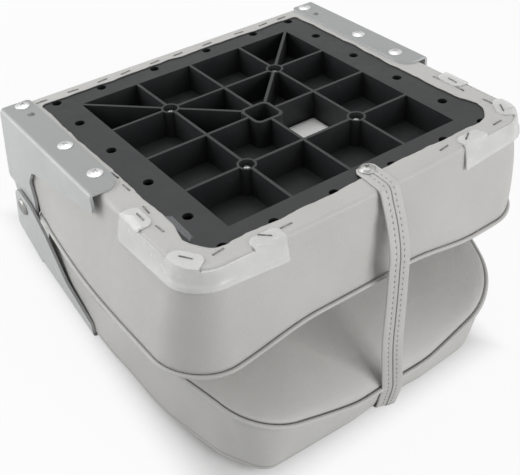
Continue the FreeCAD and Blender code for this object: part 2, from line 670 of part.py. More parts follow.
def strap_snap():
    """Snap socket on the strap's end, its cap below and its ring above."""
    y = snap_place()
    high = STRAP_LOW + STRAP
    cap = post(STRAP_X, y, STRAP_LOW - SNAP_CAP, STRAP_LOW, SNAP_D)
    stem = post(STRAP_X, y, STRAP_LOW, high, SNAP_KNOB_D)
    ring = post(STRAP_X, y, high, BACK_REAR - SNAP_CAP - SNAP_PLAY, SNAP_D)
    bore = post(STRAP_X, y, high + SNAP_PLAY, BACK_REAR, SNAP_KNOB_D + 2 * SNAP_PLAY)
    return join([cap, stem, ring]).cut(bore)


def snap_stud():
    y = snap_place()
    base = post(STRAP_X, y, BACK_REAR - SNAP_CAP, BACK_REAR, SNAP_D)
    knob = post(STRAP_X, y, STRAP_LOW + STRAP + 2 * SNAP_PLAY, BACK_REAR - SNAP_CAP, SNAP_KNOB_D)
    return join([base, knob])


# Backrest

def back_boxing(cord):
    skin = back_base(0.0, BACK_REAR).cut(back_base(COVER, BACK_REAR + COVER))
    window = plate(outline(wide_section(), BACK_TURN, BACK_REAR), COVER)
    holes = [post(x, y, BACK_REAR, BACK_REAR + COVER, SCREW_D + 2 * HOLE_PLAY) for x, y in arm_screw_places()]
    return skin.cut(window).cut(Part.makeCompound(holes)).cut(cord)


def back_cap(inset):
    corners, radii = back_seam()
    return crowned((corners, radii), inset, BACK_SLOPE, BACK_SEAM_Z, BACK_CROWN, 1)


def back_frame():
    """Moulded board inside the back, with the arms screwed to it."""
    low = BACK_REAR + COVER
    board = plate(outline(wide_section(), FRAME_INSET, low), FRAME_THICKNESS)
    holes = [post(x, y, low, low + SCREW_LENGTH, SCREW_D) for x, y in arm_screw_places()]
    return board.cut(Part.makeCompound(holes))


def back_foam():
    inset = COVER + FOAM_GAP
    low = BACK_REAR + COVER
    reach = 2 * BACK_LENGTH
    above = block(-reach, reach, -reach, reach, low + FRAME_THICKNESS, reach)
    return back_base(inset, low).common(above).fuse(back_cap(inset)).removeSplitter()


def back_rear_panel():
    """Closing board over the stapled vinyl; the closed chair lies on it."""
    half = ARM_OUT - ARM_FLANGE - REAR_PANEL_SIDE
    narrow = half - REAR_PANEL_TAPER
    top = TOP_EDGE + REAR_PANEL_INSET
    shoulder = top + REAR_PANEL_SHOULDER
    hinge = HINGE_END - REAR_PANEL_HINGE
    points = [V(-narrow, top, 0), V(narrow, top, 0), V(half, shoulder, 0), V(half, hinge, 0),
              V(-half, hinge, 0), V(-half, shoulder, 0)]
    return plate(outline((points, [REAR_PANEL_CORNER] * 6)), BACK_REAR)


def arm_screw_places():
    return [(side * (ARM_OUT - ARM_SCREW_INSET), FOLD_Y - y) for side in (-1, 1) for y in ARM_SCREWS]


def back_arm():
    """Left arm: web outside the ear, tapering forwards, and flange under the back."""
    front = FOLD_Y - ARM_END_BEFORE
    rear = FOLD_Y + ARM_BEHIND
    top = PIVOT_HEIGHT + ARM_TOP
    web = side_plate([
        (rear, ARM_FOOT + ARM_HEEL), (rear - 2, top), (FOLD_Y - 0.9 * ARM_TOP, top),
        (FOLD_Y - ARM_KNEE_BEFORE, ARM_KNEE_HEIGHT), (FOLD_Y - ARM_WAIST_BEFORE, ARM_WAIST_HEIGHT),
        (front + 4, ARM_FOOT + ARM_END_HEIGHT), (front, ARM_FOOT), (HINGE_END, ARM_FOOT)],
        [8, 0.9 * ARM_TOP, 0.8 * ARM_TOP, 20, 30, 7, 4, 20], -ARM_OUT, BRACKET)
    inner = ARM_FLANGE - ARM_OUT
    end = HINGE_END
    points = [V(-ARM_OUT, front, ARM_FOOT), V(inner, front, ARM_FOOT), V(inner, end, ARM_FOOT),
              V(-ARM_OUT, end, ARM_FOOT)]
    flange = Part.Face(Part.Wire(rounded_edges(points, [1, FLANGE_CORNER, 8, 1]))).extrude(V(0, 0, BRACKET))
    arm = web.fuse(flange).removeSplitter().cut(bend_cutter(-ARM_OUT, ARM_FOOT, front - BEND_R, end, 1))
    holes = [post(x, y, 0, BACK_REAR, SCREW_D + 2 * HOLE_PLAY) for x, y in arm_screw_places() if x < 0]
    start = V(-ARM_OUT - BRACKET / 2, FOLD_Y, PIVOT_HEIGHT)
    pin = Part.makeCylinder(RIVET_D / 2, 2 * BRACKET, start, V(1, 0, 0))
    return arm.cut(Part.makeCompound(holes + [pin]))


def arm_screws():
    screw = domed_screw(SCREW_HEAD_D, SCREW_HEAD, SCREW_D, SCREW_LENGTH)
    screw.rotate(V(0, 0, 0), V(1, 0, 0), 180)
    return Part.makeCompound([at(screw, x, y, ARM_FOOT) for x, y in arm_screw_places() if x < 0])


def across(x0, x1, diameter):
    """Round pin on the fold axis, between two places across the chair."""
    return Part.makeCylinder(diameter / 2, x1 - x0, V(x0, FOLD_Y, PIVOT_HEIGHT), V(1, 0, 0))


def pivot_rivet():
    head = across(-ARM_OUT - RIVET_HEAD, -ARM_OUT, RIVET_HEAD_D)
    rim = [edge for edge in head.Edges if abs(edge.BoundBox.XMax + ARM_OUT + RIVET_HEAD) < 1e-6]
    head = head.makeFillet(RIVET_HEAD * 0.8, rim)
    return join([head, across(-ARM_OUT, PIVOT_CAP - PIVOT_CAP_FACE - WEB_IN, RIVET_D)])


def pivot_cap():
    """Cap pressed onto the inner end of the rivet."""
    cap = across(RIVET_PLAY - WEB_IN, PIVOT_CAP - WEB_IN, PIVOT_CAP_D)
    return cap.cut(across(-ARM_OUT, PIVOT_CAP - PIVOT_CAP_FACE - WEB_IN, RIVET_D))


def pivot_washer():
    return across(-ARM_IN, -WEB_OUT, WASHER_D).cut(across(-ARM_IN, -WEB_OUT, RIVET_D))


def build():
    seat_cord = piping(seam_section(1.0), SEAT_SEAM_Z, SEAT_SLOPE)
    back_cord = piping(back_seam(), BACK_SEAM_Z, BACK_SLOPE)
    seat = {
        "seat_pan": seat_pan(),
        "pan_screws": pan_screws(),
        "seat_foam": seat_foam(),
        "seat_boxing": seat_boxing(seat_cord),
        "seat_panel": seat_cap(0.0).cut(seat_cap(COVER)).cut(seat_cord),
        "seat_piping": seat_cord,
        "strap_screw": strap_screw(),
        "strap_washer": strap_washer(),
    }
    pairs = {"corner_guard": corner_guard(), "hinge_bracket": hinge_bracket(),
             "bracket_screws": bracket_screws()}
    for name, shape in pairs.items():
        seat[name + "_left"] = shape
        seat[name + "_right"] = mirrored(shape)
    nodes = {name: seat_placed(shape) for name, shape in seat.items()}
    nodes.update({
        "strap": strap(),
        "strap_snap": strap_snap(),
        "snap_stud": snap_stud(),
        "back_frame": back_frame(),
        "back_foam": back_foam(),
        "back_boxing": back_boxing(back_cord),
        "back_panel": back_cap(0.0).cut(back_cap(COVER)).cut(back_cord),
        "back_piping": back_cord,
        "back_rear_panel": back_rear_panel(),
    })
    pairs = {"back_arm": back_arm(), "arm_screws": arm_screws(), "pivot_rivet": pivot_rivet(),
             "pivot_washer": pivot_washer(), "pivot_cap": pivot_cap()}
    for name, shape in pairs.items():
        nodes[name + "_left"] = shape
        nodes[name + "_right"] = mirrored(shape)
    return nodes


def centred(nodes):
    """Shift the chair along y so that its origin is the middle of its footprint."""
    boxes = [shape.BoundBox for shape in nodes.values()]
    shift = -(min(box.YMin for box in boxes) + max(box.YMax for box in boxes)) / 2
    return {name: at(shape, 0, shift, 0) for name, shape in nodes.items()}, shift


os.makedirs("parts", exist_ok=True)
pieces, y_shift = centred(build())
for node, solid in pieces.items():
    solid.exportStep("parts/" + node + ".step")
    print(node, "valid" if solid.isValid() else "NOT VALID", len(solid.Solids), "solids",
          round(solid.Volume / 1000, 2), "cm3")
pattern_y, pattern_z = seat_point(0, 0)
print("fold axis y", round(FOLD_Y + y_shift, 4), "z", round(PIVOT_HEIGHT, 4))
print("pedestal pattern y", round(pattern_y + y_shift, 4), "z", round(pattern_z, 4))
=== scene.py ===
# %% [markdown]
# # Low back folding chair
# The chair is folded shut and lies on the rear of its backrest, so the underside of its seat faces up. The
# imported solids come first: they fix every size and place, and each piece made here is fitted to them.

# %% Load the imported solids
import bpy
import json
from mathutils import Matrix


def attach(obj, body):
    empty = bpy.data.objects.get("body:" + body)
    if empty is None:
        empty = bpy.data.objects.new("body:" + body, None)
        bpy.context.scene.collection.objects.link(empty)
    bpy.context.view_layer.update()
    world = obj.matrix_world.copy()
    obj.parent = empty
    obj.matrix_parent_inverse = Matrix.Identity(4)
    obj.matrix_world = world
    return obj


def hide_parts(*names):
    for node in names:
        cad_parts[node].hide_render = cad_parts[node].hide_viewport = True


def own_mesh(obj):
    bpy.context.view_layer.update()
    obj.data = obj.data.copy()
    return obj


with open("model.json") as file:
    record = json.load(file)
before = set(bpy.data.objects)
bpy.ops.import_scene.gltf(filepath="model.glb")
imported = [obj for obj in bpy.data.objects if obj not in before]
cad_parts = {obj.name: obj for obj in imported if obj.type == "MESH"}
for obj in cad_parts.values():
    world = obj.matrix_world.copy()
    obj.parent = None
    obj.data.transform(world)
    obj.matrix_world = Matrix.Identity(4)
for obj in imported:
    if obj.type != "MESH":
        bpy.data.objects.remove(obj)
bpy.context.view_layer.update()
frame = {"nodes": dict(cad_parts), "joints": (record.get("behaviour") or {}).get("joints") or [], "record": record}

# %% [markdown]
# ## Two drawing frames
# The seat is tilted on the closed chair, but it is easier to draw flat. Its bolt pattern gives the middle and
# the direction of the pan's rim face, so the seat frame has the rim at z = 0 and +z out of the underside. The
# back lies level, and its frame starts at its hinge end. Pieces are drawn in millimetres, and a matrix takes
# them to their place in metres.

# %% Seat frame and back frame
import json
import math

import bmesh
import bpy
import numpy as np
from mathutils import Matrix, Vector, noise

MM = 0.001
PIVOT_SETBACK = 33.0
scene = bpy.context.scene
nodes = frame["nodes"]
bolts = frame["record"]["mounts"][0]
fold = frame["joints"][0]
_, tilt_sin, tilt_cos = bolts["axis"]
_, bolts_y, bolts_z = bolts["pos_m"]
SEAT = Matrix(((1, 0, 0, 0), (0, tilt_cos, tilt_sin, bolts_y),
               (0, -tilt_sin, tilt_cos, bolts_z), (0, 0, 0, 1)))
BACK = Matrix.Translation((0, fold["pos_m"][1] - PIVOT_SETBACK * MM, 0))
print("seat tilt", round(math.degrees(math.asin(tilt_sin)), 2), "hinge end of the back", BACK.translation.y)

# %% [markdown]
# ## Small tools for meshes
# A cushion could be sculpted, but then its sizes would be lost. Here it is a stack of rounded outlines. Every
# outline has the same number of points on each arc and each straight side, so point 100 of one outline lies
# above point 100 of the next, and the stack can be skinned with quads.

# %% Rounded outlines
def unit(rows):
    """Rows of vectors brought to length 1."""
    return rows / np.linalg.norm(rows, axis=1)[:, None]


def ring(corners, radii, counts):
    """Closed outline with rounded corners; counts gives the steps on each arc and on the line after it."""
    points = np.asarray(corners, float)
    ahead = unit(np.roll(points, -1, axis=0) - points)
    behind = np.roll(ahead, 1, axis=0)
    half = np.arccos(np.clip((ahead * behind).sum(1), -1, 1)) / 2
    reach = np.asarray(radii) * np.tan(half)
    centres = points + unit(ahead - behind) * (np.asarray(radii) / np.cos(half))[:, None]
    starts, ends = points - behind * reach[:, None], points + ahead * reach[:, None]
    made = []
    for i, (arc, line) in enumerate(counts):
        a0 = math.atan2(*(starts[i] - centres[i])[::-1])
        a1 = math.atan2(*(ends[i] - centres[i])[::-1])
        turn = (a1 - a0 + math.pi) % (2 * math.pi) - math.pi
        for k in range(arc):
            angle = a0 + turn * k / arc
            made.append(centres[i] + radii[i] * np.array((math.cos(angle), math.sin(angle))))
        far = starts[(i + 1) % len(points)]
        made += [ends[i] + (far - ends[i]) * k / line for k in range(line)]
    return np.array(made)


def outward(loop):
    """Outward direction at every point of a counter-clockwise outline."""
    along = unit(np.roll(loop, -1, axis=0) - np.roll(loop, 1, axis=0))
    return np.stack([along[:, 1], -along[:, 0]], 1)


square = ring([(-1, -1), (1, -1), (1, 1), (-1, 1)], [0.5] * 4, [(4, 2)] * 4)
print("a square with round corners takes", len(square), "points")

# %% Soft steps and waves
def smooth(low, high, value):
    """Soft step from 0 at low to 1 at high."""
    t = np.clip((np.asarray(value, float) - low) / (high - low), 0, 1)
    return t * t * (3 - 2 * t)


def waves(points, size, seed):
    """Soft noise from -1 to 1 at every point; size is the length of a wave in millimetres."""
    shift = Vector((seed * 17.3, seed * -9.1, seed * 5.7))
    return np.array([noise.noise(Vector(p) / size + shift) for p in points])


print("half way a soft step is at", float(smooth(0, 2, 1)))

# %% Skins and pieces
def skin(loops):
    """Vertices and quads over a stack of outlines, with a fan at both ends."""
    count = len(loops[0])
    points = np.concatenate(loops)
    first, last, top = len(points), len(points) + 1, (len(loops) - 1) * count
    faces = []
    for a in range(0, top, count):
        b = a + count
        faces += [(a + k, a + (k + 1) % count, b + (k + 1) % count, b + k) for k in range(count)]
    faces += [(first, (k + 1) % count, k) for k in range(count)]
    faces += [(last, top + k, top + (k + 1) % count) for k in range(count)]
    return np.concatenate([points, loops[0].mean(0)[None], loops[-1].mean(0)[None]]), faces


def show(name, data):
    """New object in the scene, for a mesh, a lamp or a camera."""
    made = bpy.data.objects.new(name, data)
    scene.collection.objects.link(made)
    return made


def piece(name, points, faces, place, material):
    """Smooth mesh object from points in millimetres, with its place in its mesh and its faces outwards."""
    mesh = bpy.data.meshes.new(name)
    mesh.from_pydata((np.asarray(points) * MM).tolist(), [], [tuple(face) for face in faces])
    mesh.transform(place)
    work = bmesh.new()
    work.from_mesh(mesh)
    bmesh.ops.recalc_face_normals(work, faces=work.faces)
    work.to_mesh(mesh)
    work.free()
    mesh.polygons.foreach_set("use_smooth", [True] * len(mesh.polygons))
    mesh.materials.append(material)
    return show(name, mesh)


def stand_in(obj, body, slot, *solids):
    """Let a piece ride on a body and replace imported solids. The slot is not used."""
    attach(obj, body)
    if solids:
        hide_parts(*solids)


def note(obj, name, values):
    """Store one number per vertex, for a material or a tree to read."""
    stored = obj.data.attributes.new(name, "FLOAT", "POINT")
    stored.data.foreach_set("value", np.asarray(values, np.float32))


print("the square, skinned twice over, has", len(skin([square, square])[1]), "faces")

# %% [markdown]
# ## Finishes
# Each finish is a small node tree on the principled shader. Values that are the same all over are set on the
# shader itself, and only colour, roughness and bump are driven by noise, so that the finish survives an
# export. Patterns use Object coordinates: every piece keeps its place in its mesh, so one metre in the
# pattern is one metre on the chair.

# %% Node helpers
def add(tree, kind, inputs=None, **settings):
    """Add a node, set its properties, and set or link its inputs."""
    made = tree.nodes.new(kind)
    for key, value in settings.items():
        setattr(made, key, value)
    for key, value in (inputs or {}).items():
        if isinstance(value, bpy.types.NodeSocket):
            tree.links.new(value, made.inputs[key])
        else:
            made.inputs[key].default_value = value
    return made


def out(tree, kind, inputs=None, **settings):
    """Add a node and return its first output."""
    return add(tree, kind, inputs, **settings).outputs[0]


def calc(tree, operation, *values):
    """One step of arithmetic on sockets or numbers."""
    return out(tree, "ShaderNodeMath", dict(enumerate(values)), operation=operation)


def start_finish(name, constants):
    """New material with a principled shader; returns it with its tree, its shader and Object coordinates."""
    made = bpy.data.materials.new(name)
    made.use_nodes = True
    tree = made.node_tree
    tree.nodes.clear()
    shader = add(tree, "ShaderNodeBsdfPrincipled", constants)
    add(tree, "ShaderNodeOutputMaterial", {"Surface": shader.outputs["BSDF"]})
    place = add(tree, "ShaderNodeTexCoord").outputs["Object"]
    return made, tree, shader, place


print("node helpers ready, materials so far", len(bpy.data.materials))

# %% Noise, blends and bumps
def grain(tree, place, scale, detail=3.0, rough=0.5, stretch=None):
    """Noise from 0 to 1 on Object coordinates; scale is in waves per metre."""
    if stretch:
        place = out(tree, "ShaderNodeMapping", {"Vector": place, "Scale": stretch})
    return add(tree, "ShaderNodeTexNoise", {"Vector": place, "Scale": scale, "Detail": detail,
                                            "Roughness": rough}).outputs["Fac"]


def blend_colours(tree, fac, a, b, low=0.3, high=0.7):
    """Two colours blended by a noise, with the noise stretched between low and high."""
    spread = add(tree, "ShaderNodeMapRange", {"Value": fac, "From Min": low, "From Max": high})
    mix = add(tree, "ShaderNodeMix", {"Factor": spread.outputs["Result"]}, data_type="RGBA")
    for index, colour in ((6, a), (7, b)):
        if isinstance(colour, bpy.types.NodeSocket):
            tree.links.new(colour, mix.inputs[index])
        else:
            mix.inputs[index].default_value = (*colour, 1)
    return mix.outputs[2]


def span(tree, fac, low, high):
    """A noise mapped to the range of a roughness."""
    return out(tree, "ShaderNodeMapRange", {"Value": fac, "From Min": 0.25, "From Max": 0.75, "To Min": low,
                                            "To Max": high})


def finish_with(tree, shader, colour, rough, *layers):
    """Link a colour, a roughness and stacked bump layers, each a height and its depth in metres."""
    tree.links.new(colour, shader.inputs["Base Color"])
    tree.links.new(rough, shader.inputs["Roughness"])
    normal = None
    for height, depth in layers:
        inputs = {"Height": height, "Distance": depth, "Strength": 1.0}
        if normal:
            inputs["Normal"] = normal
        normal = add(tree, "ShaderNodeBump", inputs).outputs["Normal"]
    tree.links.new(normal, shader.inputs["Normal"])


def plain_finish(name, constants, light, dark, mottle, gloss, rough, *pits):
    """Finish from noises alone, each a scale and a detail; pits also have a depth."""
    made, tree, shader, place = start_finish(name, constants)
    finish_with(tree, shader, blend_colours(tree, grain(tree, place, *mottle), dark, light),
                span(tree, grain(tree, place, *gloss), *rough),
                *((grain(tree, place, scale, detail), depth) for scale, detail, depth in pits))
    return made


print("finish tools ready")

# %% [markdown]
# ### Vinyl
# Marine vinyl is a soft plastic skin with a fine pebbled grain. A picture of vinyl would repeat and blur, so
# nodes make it: a cell pattern gives the pebbles, slow noise a slight mottle, and a value stored on the mesh
# darkens the skin where it is sewn in or turned under. That darkening is painted shade: it stands for the
# shade in the seams, creases and at the cut edge.

# %% Vinyl
# Depth of the painted shade in seams, creases and at the cut edge, as a share of the dark tone.
PAINTED_SEAM_SHADE = 0.22


def vinyl(name, light, dark, pebble):
    made, tree, shader, place = start_finish(name, {"IOR": 1.48, "Specular IOR Level": 0.42,
                                                    "Sheen Weight": 0.06, "Sheen Roughness": 0.5})
    colour = blend_colours(tree, grain(tree, place, 14, 4), dark, light)
    # Painted shade: the stored seam value darkens the vinyl in seams, creases and at the cut edge.
    seam = add(tree, "ShaderNodeAttribute", attribute_name="seam").outputs["Fac"]
    colour = blend_colours(tree, seam, colour, tuple(PAINTED_SEAM_SHADE * c for c in dark), 0.0, 1.0)
    cells = add(tree, "ShaderNodeTexVoronoi", {"Vector": place, "Scale": pebble}, feature="SMOOTH_F1")
    finish_with(tree, shader, colour, span(tree, grain(tree, place, 60, 3), 0.40, 0.52),
                (grain(tree, place, 45, 2), 0.0006), (cells.outputs["Distance"], 0.00022),
                (grain(tree, place, 2600, 2), 0.00004))
    return made


cover_vinyl = vinyl("cover_vinyl", (0.515, 0.51, 0.495), (0.475, 0.47, 0.455), 900)
strap_vinyl = vinyl("strap_vinyl", (0.54, 0.535, 0.52), (0.49, 0.485, 0.475), 1300)
thread_vinyl = vinyl("thread_vinyl", (0.36, 0.355, 0.345), (0.28, 0.275, 0.27), 1300)
print("vinyl on", cover_vinyl.name, strap_vinyl.name, "and", thread_vinyl.name)

# %% [markdown]
# ### Moulded plastic, painted steel and bright metal
# The pan is charcoal plastic with a fine spark texture and pale scuffs. Brackets and arms are steel with
# satin paint and a little orange peel. Their flanges on the rim are darker than the webs, and that is
# painted shade: both are one piece, so the colour goes by the direction in which a face looks, in place of
# the light that falls on it. Screws and rivets are plated metal.

# %% Hard finishes
# Painted shade on faces that look up along the seat, such as the flanges on the rim, as a share of the dark tone.
FLANGE_PAINTED_SHADE = 0.66


def moulded(name, light, dark, rough, scuff=None):
    made, tree, shader, place = start_finish(name, {"IOR": 1.49, "Specular IOR Level": 0.33})
    colour = blend_colours(tree, grain(tree, place, 26, 5), dark, light)
    if scuff:
        streaks = grain(tree, place, 60, 6, 0.7, (1.0, 0.18, 0.6))
        colour = blend_colours(tree, streaks, colour, scuff, 0.64, 0.86)
    finish_with(tree, shader, colour, span(tree, grain(tree, place, 90, 4), *rough),
                (grain(tree, place, 30, 2), 0.0004), (grain(tree, place, 1500, 2), 0.00006))
    return made


def painted(name, light, dark, rough):
    made, tree, shader, place = start_finish(name, {"IOR": 1.5, "Specular IOR Level": 0.5,
                                                    "Coat Weight": 0.12, "Coat Roughness": 0.25})
    colour = blend_colours(tree, grain(tree, place, 20, 5), dark, light)
    # Painted shade: faces that look up along the seat get a darker colour.
    faces = add(tree, "ShaderNodeTexCoord").outputs["Normal"]
    up_facing_shade = add(tree, "ShaderNodeVectorMath", {0: faces, 1: bolts["axis"]},
               operation="DOT_PRODUCT").outputs["Value"]
    colour = blend_colours(tree, up_facing_shade, colour, tuple(FLANGE_PAINTED_SHADE * c for c in dark), 0.6, 0.95)
    finish_with(tree, shader, colour, span(tree, grain(tree, place, 120, 4), *rough),
                (grain(tree, place, 420, 2), 0.00007))
    return made


def plated(name, light, dark, rough):
    return plain_finish(name, {"Metallic": 1.0}, light, dark, (240, 4), (500, 4), rough, (2200, 2, 0.00002))


pan_plastic = moulded("pan_plastic", (0.022, 0.023, 0.024), (0.015, 0.016, 0.017), (0.40, 0.52),
                      (0.07, 0.073, 0.075))
board_plastic = moulded("board_plastic", (0.030, 0.031, 0.032), (0.021, 0.022, 0.023), (0.46, 0.58))
cap_plastic = moulded("cap_plastic", (0.013, 0.013, 0.014), (0.008, 0.008, 0.009), (0.36, 0.5))
washer_plastic = moulded("washer_plastic", (0.30, 0.30, 0.29), (0.24, 0.24, 0.23), (0.4, 0.5))
satin_paint = painted("satin_paint", (0.50, 0.51, 0.51), (0.46, 0.47, 0.47), (0.34, 0.46))
bright_metal = plated("bright_metal", (0.66, 0.66, 0.66), (0.54, 0.54, 0.54), (0.38, 0.48))
worn_metal = plated("worn_metal", (0.44, 0.44, 0.43), (0.28, 0.28, 0.27), (0.36, 0.48))
snap_metal = plated("snap_metal", (0.62, 0.61, 0.58), (0.45, 0.44, 0.42), (0.24, 0.38))
staple_wire = plated("staple_wire", (0.20, 0.20, 0.20), (0.09, 0.09, 0.09), (0.38, 0.55))
print("hard finishes", len(bpy.data.materials))

# %% [markdown]
# ### Milky guards, clear film and paper
# The corner guards are pressed from a milky plastic that lets the vinyl under it show. True scattering would
# be slow and noisy in a sheet this thin, so the shader is partly see-through with a glossy surface. The scrap
# of film is thin and clear, and the sticker is plain paper.

# %% Guards, film and paper
def paper(name, light, dark):
    return plain_finish(name, {"IOR": 1.45, "Specular IOR Level": 0.25}, light, dark, (70, 5), (300, 3),
                        (0.55, 0.7), (1800, 4, 0.00003))


guard_plastic = plain_finish("guard_plastic", {"IOR": 1.47, "Specular IOR Level": 0.55, "Alpha": 0.72,
                                               "Coat Weight": 0.25, "Coat Roughness": 0.12},
                             (0.80, 0.80, 0.79), (0.72, 0.72, 0.71), (40, 4), (160, 4), (0.16, 0.30),
                             (60, 2, 0.0008), (420, 2, 0.00008))
loose_film = plain_finish("loose_film", {"IOR": 1.45, "Specular IOR Level": 0.6, "Alpha": 0.07},
                          (0.9, 0.92, 0.94), (0.72, 0.74, 0.76), (90, 4), (200, 3), (0.10, 0.28),
                          (130, 2, 0.0006))
label_paper = paper("label_paper", (0.94, 0.94, 0.93), (0.89, 0.89, 0.88))
floor_paper = paper("floor_paper", (0.78, 0.78, 0.78), (0.75, 0.75, 0.75))
print("finishes in all", len(bpy.data.materials))

# %% [markdown]
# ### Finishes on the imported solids
# Pan, brackets, arms, boards and most screws already have their true shape, so they stay as they are and only
# get a finish. The start of a solid's name is enough to choose it, which takes in left and right at once.

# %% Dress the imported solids
DRESS = {
    "seat_pan": pan_plastic, "back_frame": board_plastic, "back_rear_panel": board_plastic,
    "hinge_bracket": satin_paint, "back_arm": satin_paint,
    "bracket_screws": bright_metal, "arm_screws": bright_metal,
    "strap_screw": worn_metal, "strap_washer": worn_metal, "pivot_rivet": worn_metal,
    "pivot_cap": cap_plastic, "pivot_washer": washer_plastic, "snap_stud": snap_metal,
}
dressed = 0
for node_name, node_object in nodes.items():
    for start, finish in DRESS.items():
        if node_name.startswith(start):
            node_object.data.materials.clear()
            node_object.data.materials.append(finish)
            dressed += 1
print("dressed", dressed, "of", len(nodes), "solids")

# %% [markdown]
# ## Seat cushion
# The cushion is foam on the pan with a vinyl cover. From the sitting face the cover goes out over a crown to
# the seam, in under the piping, up the boxing, round the rolled edge and onto the rim, where it ends in a
# hand-cut edge. From there the skin runs back round the pan, so the cushion is one closed form with a hollow
# that the pan fills. The boxing gives way beside the caps on the pivots, which turn close to it.

# %% Outlines of the seat
PAN_X, PAN_FRONT, PAN_REAR, PAN_CORNER, PAN_CORNER_REAR = 182.0, 163.0, 161.5, 26.0, 10.0
SEAT_BOW, SEAT_ROLL, SEAT_ROLL_DEPTH, SEAT_SWELL = 4.0, 6.5, 7.0, 1.5
FLARE_FRONT, FLARE_REAR, LEAN_FRONT, LEAN_REAR = 24.0, 9.0, 10.0, 4.5
SEAT_CORNER_FRONT, SEAT_CORNER_REAR = 50.0, 34.0
SEAT_FRONT_DEPTH, SEAT_REAR_DEPTH = 107.0, 105.0
BELLY, BELLY_Y, BELLY_HALF = 6.5, -4.0, 168.0  # fullness of the sides at the seam
CAP_Y, CAP_Z, CAP_X, CAP_TUCK = 153.7, -106.0, 186.0, 5.0  # pivot cap, and half the width left beside it
CAP_NEAR, CAP_FAR, CAP_FREE = 14.0, 60.0, 60.0  # distances over which the width is given back
SEAM_LIFT, SEAM_LIFT_X = 15.0, -22.0  # rise of the seam in the middle of the front edge
SEAT_COUNTS = [(26, 24), (12, 24), (26, 48), (16, 54), (16, 48)]
SEAT_RISE = (SEAT_FRONT_DEPTH - SEAT_REAR_DEPTH) / (PAN_FRONT + LEAN_FRONT + PAN_REAR + LEAN_REAR)


def seat_ring(half_front, half_rear, front, rear, r_front, r_rear, bow):
    corners = [(-half_front, -front), (0, -front - bow), (half_front, -front),
               (half_rear, rear), (-half_rear, rear)]
    return ring(corners, [r_front, 0.2 * half_front ** 2 / bow, r_front, r_rear, r_rear], SEAT_COUNTS)


def boxing_ring(share, swell=0.0):
    """Outline of the boxing; share 0 is the rolled edge and 1 the seam."""
    roll = (1 - share) * SEAT_ROLL + swell
    front_r, rear_r = PAN_CORNER + SEAT_ROLL, PAN_CORNER_REAR + SEAT_ROLL
    loop = seat_ring(PAN_X + roll + share * FLARE_FRONT, PAN_X + roll + share * FLARE_REAR,
                     PAN_FRONT + roll + share * LEAN_FRONT - SEAT_BOW, PAN_REAR + roll + share * LEAN_REAR,
                     front_r + share * (SEAT_CORNER_FRONT - front_r),
                     rear_r + share * (SEAT_CORNER_REAR - rear_r), SEAT_BOW)
    x, y = loop.T
    belly = np.cos(np.clip((y - BELLY_Y) / BELLY_HALF, -1, 1) * math.pi / 2) ** 2 * smooth(120, 92, y)
    aside = np.abs(x) + BELLY * share ** 2 * belly
    away = np.hypot(y - CAP_Y, -SEAT_ROLL_DEPTH + share * (SEAT_ROLL_DEPTH - SEAT_REAR_DEPTH) - CAP_Z)
    room = CAP_X - CAP_TUCK * smooth(0.75, 0.95, share) + CAP_FREE * smooth(CAP_NEAR, CAP_FAR, away)
    loop[:, 0] = np.sign(x) * np.minimum(aside, room)
    return loop


def seat_seam_z(loop):
    """Height of the seam; it rises towards the middle of the front edge."""
    x, y = loop.T
    lift = SEAM_LIFT * (1 - smooth(48, 150, np.abs(x - SEAM_LIFT_X))) * smooth(-120, -168, y)
    return -SEAT_FRONT_DEPTH + (y + PAN_FRONT + LEAN_FRONT) * SEAT_RISE + lift


pan_edge = seat_ring(PAN_X, PAN_X, PAN_FRONT - SEAT_BOW, PAN_REAR, PAN_CORNER, PAN_CORNER_REAR, SEAT_BOW)
pan_out = outward(pan_edge)
seat_seam = boxing_ring(1.0)
print("seat outline of", len(pan_edge), "points, seam", np.round(np.ptp(seat_seam, axis=0)).tolist(), "mm")

# %% [markdown]
# The cut edge of the vinyl on the rim wanders a few millimetres, as a knife does. A drawn line would need
# many points, so slow and quick noise are added to a rounded outline. The edge also draws back at the front
# corners, where the cover is gathered under the guards, and it is most ragged at the front left.

# %% Cut edge of the vinyl
CUT_DRAWN, CUT_SLOW, CUT_MIDDLE, CUT_QUICK, CUT_RAGGED = 5.0, 1.6, 1.7, 0.8, 1.2
cut_edge = seat_ring(half_front=160.5, half_rear=159.5, front=145.5, rear=150.0, r_front=20.0, r_rear=6.0,
                     bow=0.01)
cut_x, cut_y = cut_edge.T
wander = np.column_stack([cut_edge, np.zeros(len(cut_edge))])
ragged = CUT_QUICK + CUT_RAGGED * np.exp(-((cut_x + 145) / 30) ** 2) * (cut_y < -120)
drawn = CUT_DRAWN * np.exp(-((cut_y + 118) / 13) ** 2) * (np.abs(cut_x) > 140)
cut_edge = cut_edge + outward(cut_edge) * (drawn + CUT_SLOW * waves(wander, 45, 1)
                                           + CUT_MIDDLE * waves(wander, 19, 2)
                                           + ragged * waves(wander, 8, 3))[:, None]
cut_out = outward(cut_edge)
print("cut edge spans", np.round(np.ptp(cut_edge, axis=0), 1).tolist(), "mm")

# %% [markdown]
# The stack is laid from the middle of the sitting face outwards. Each level carries three more values: its
# painted seam shade for the vinyl, which darkens it in the grooves by the piping and at the cut edge, how
# firmly it is held when the cover swells, and how far it may swell.

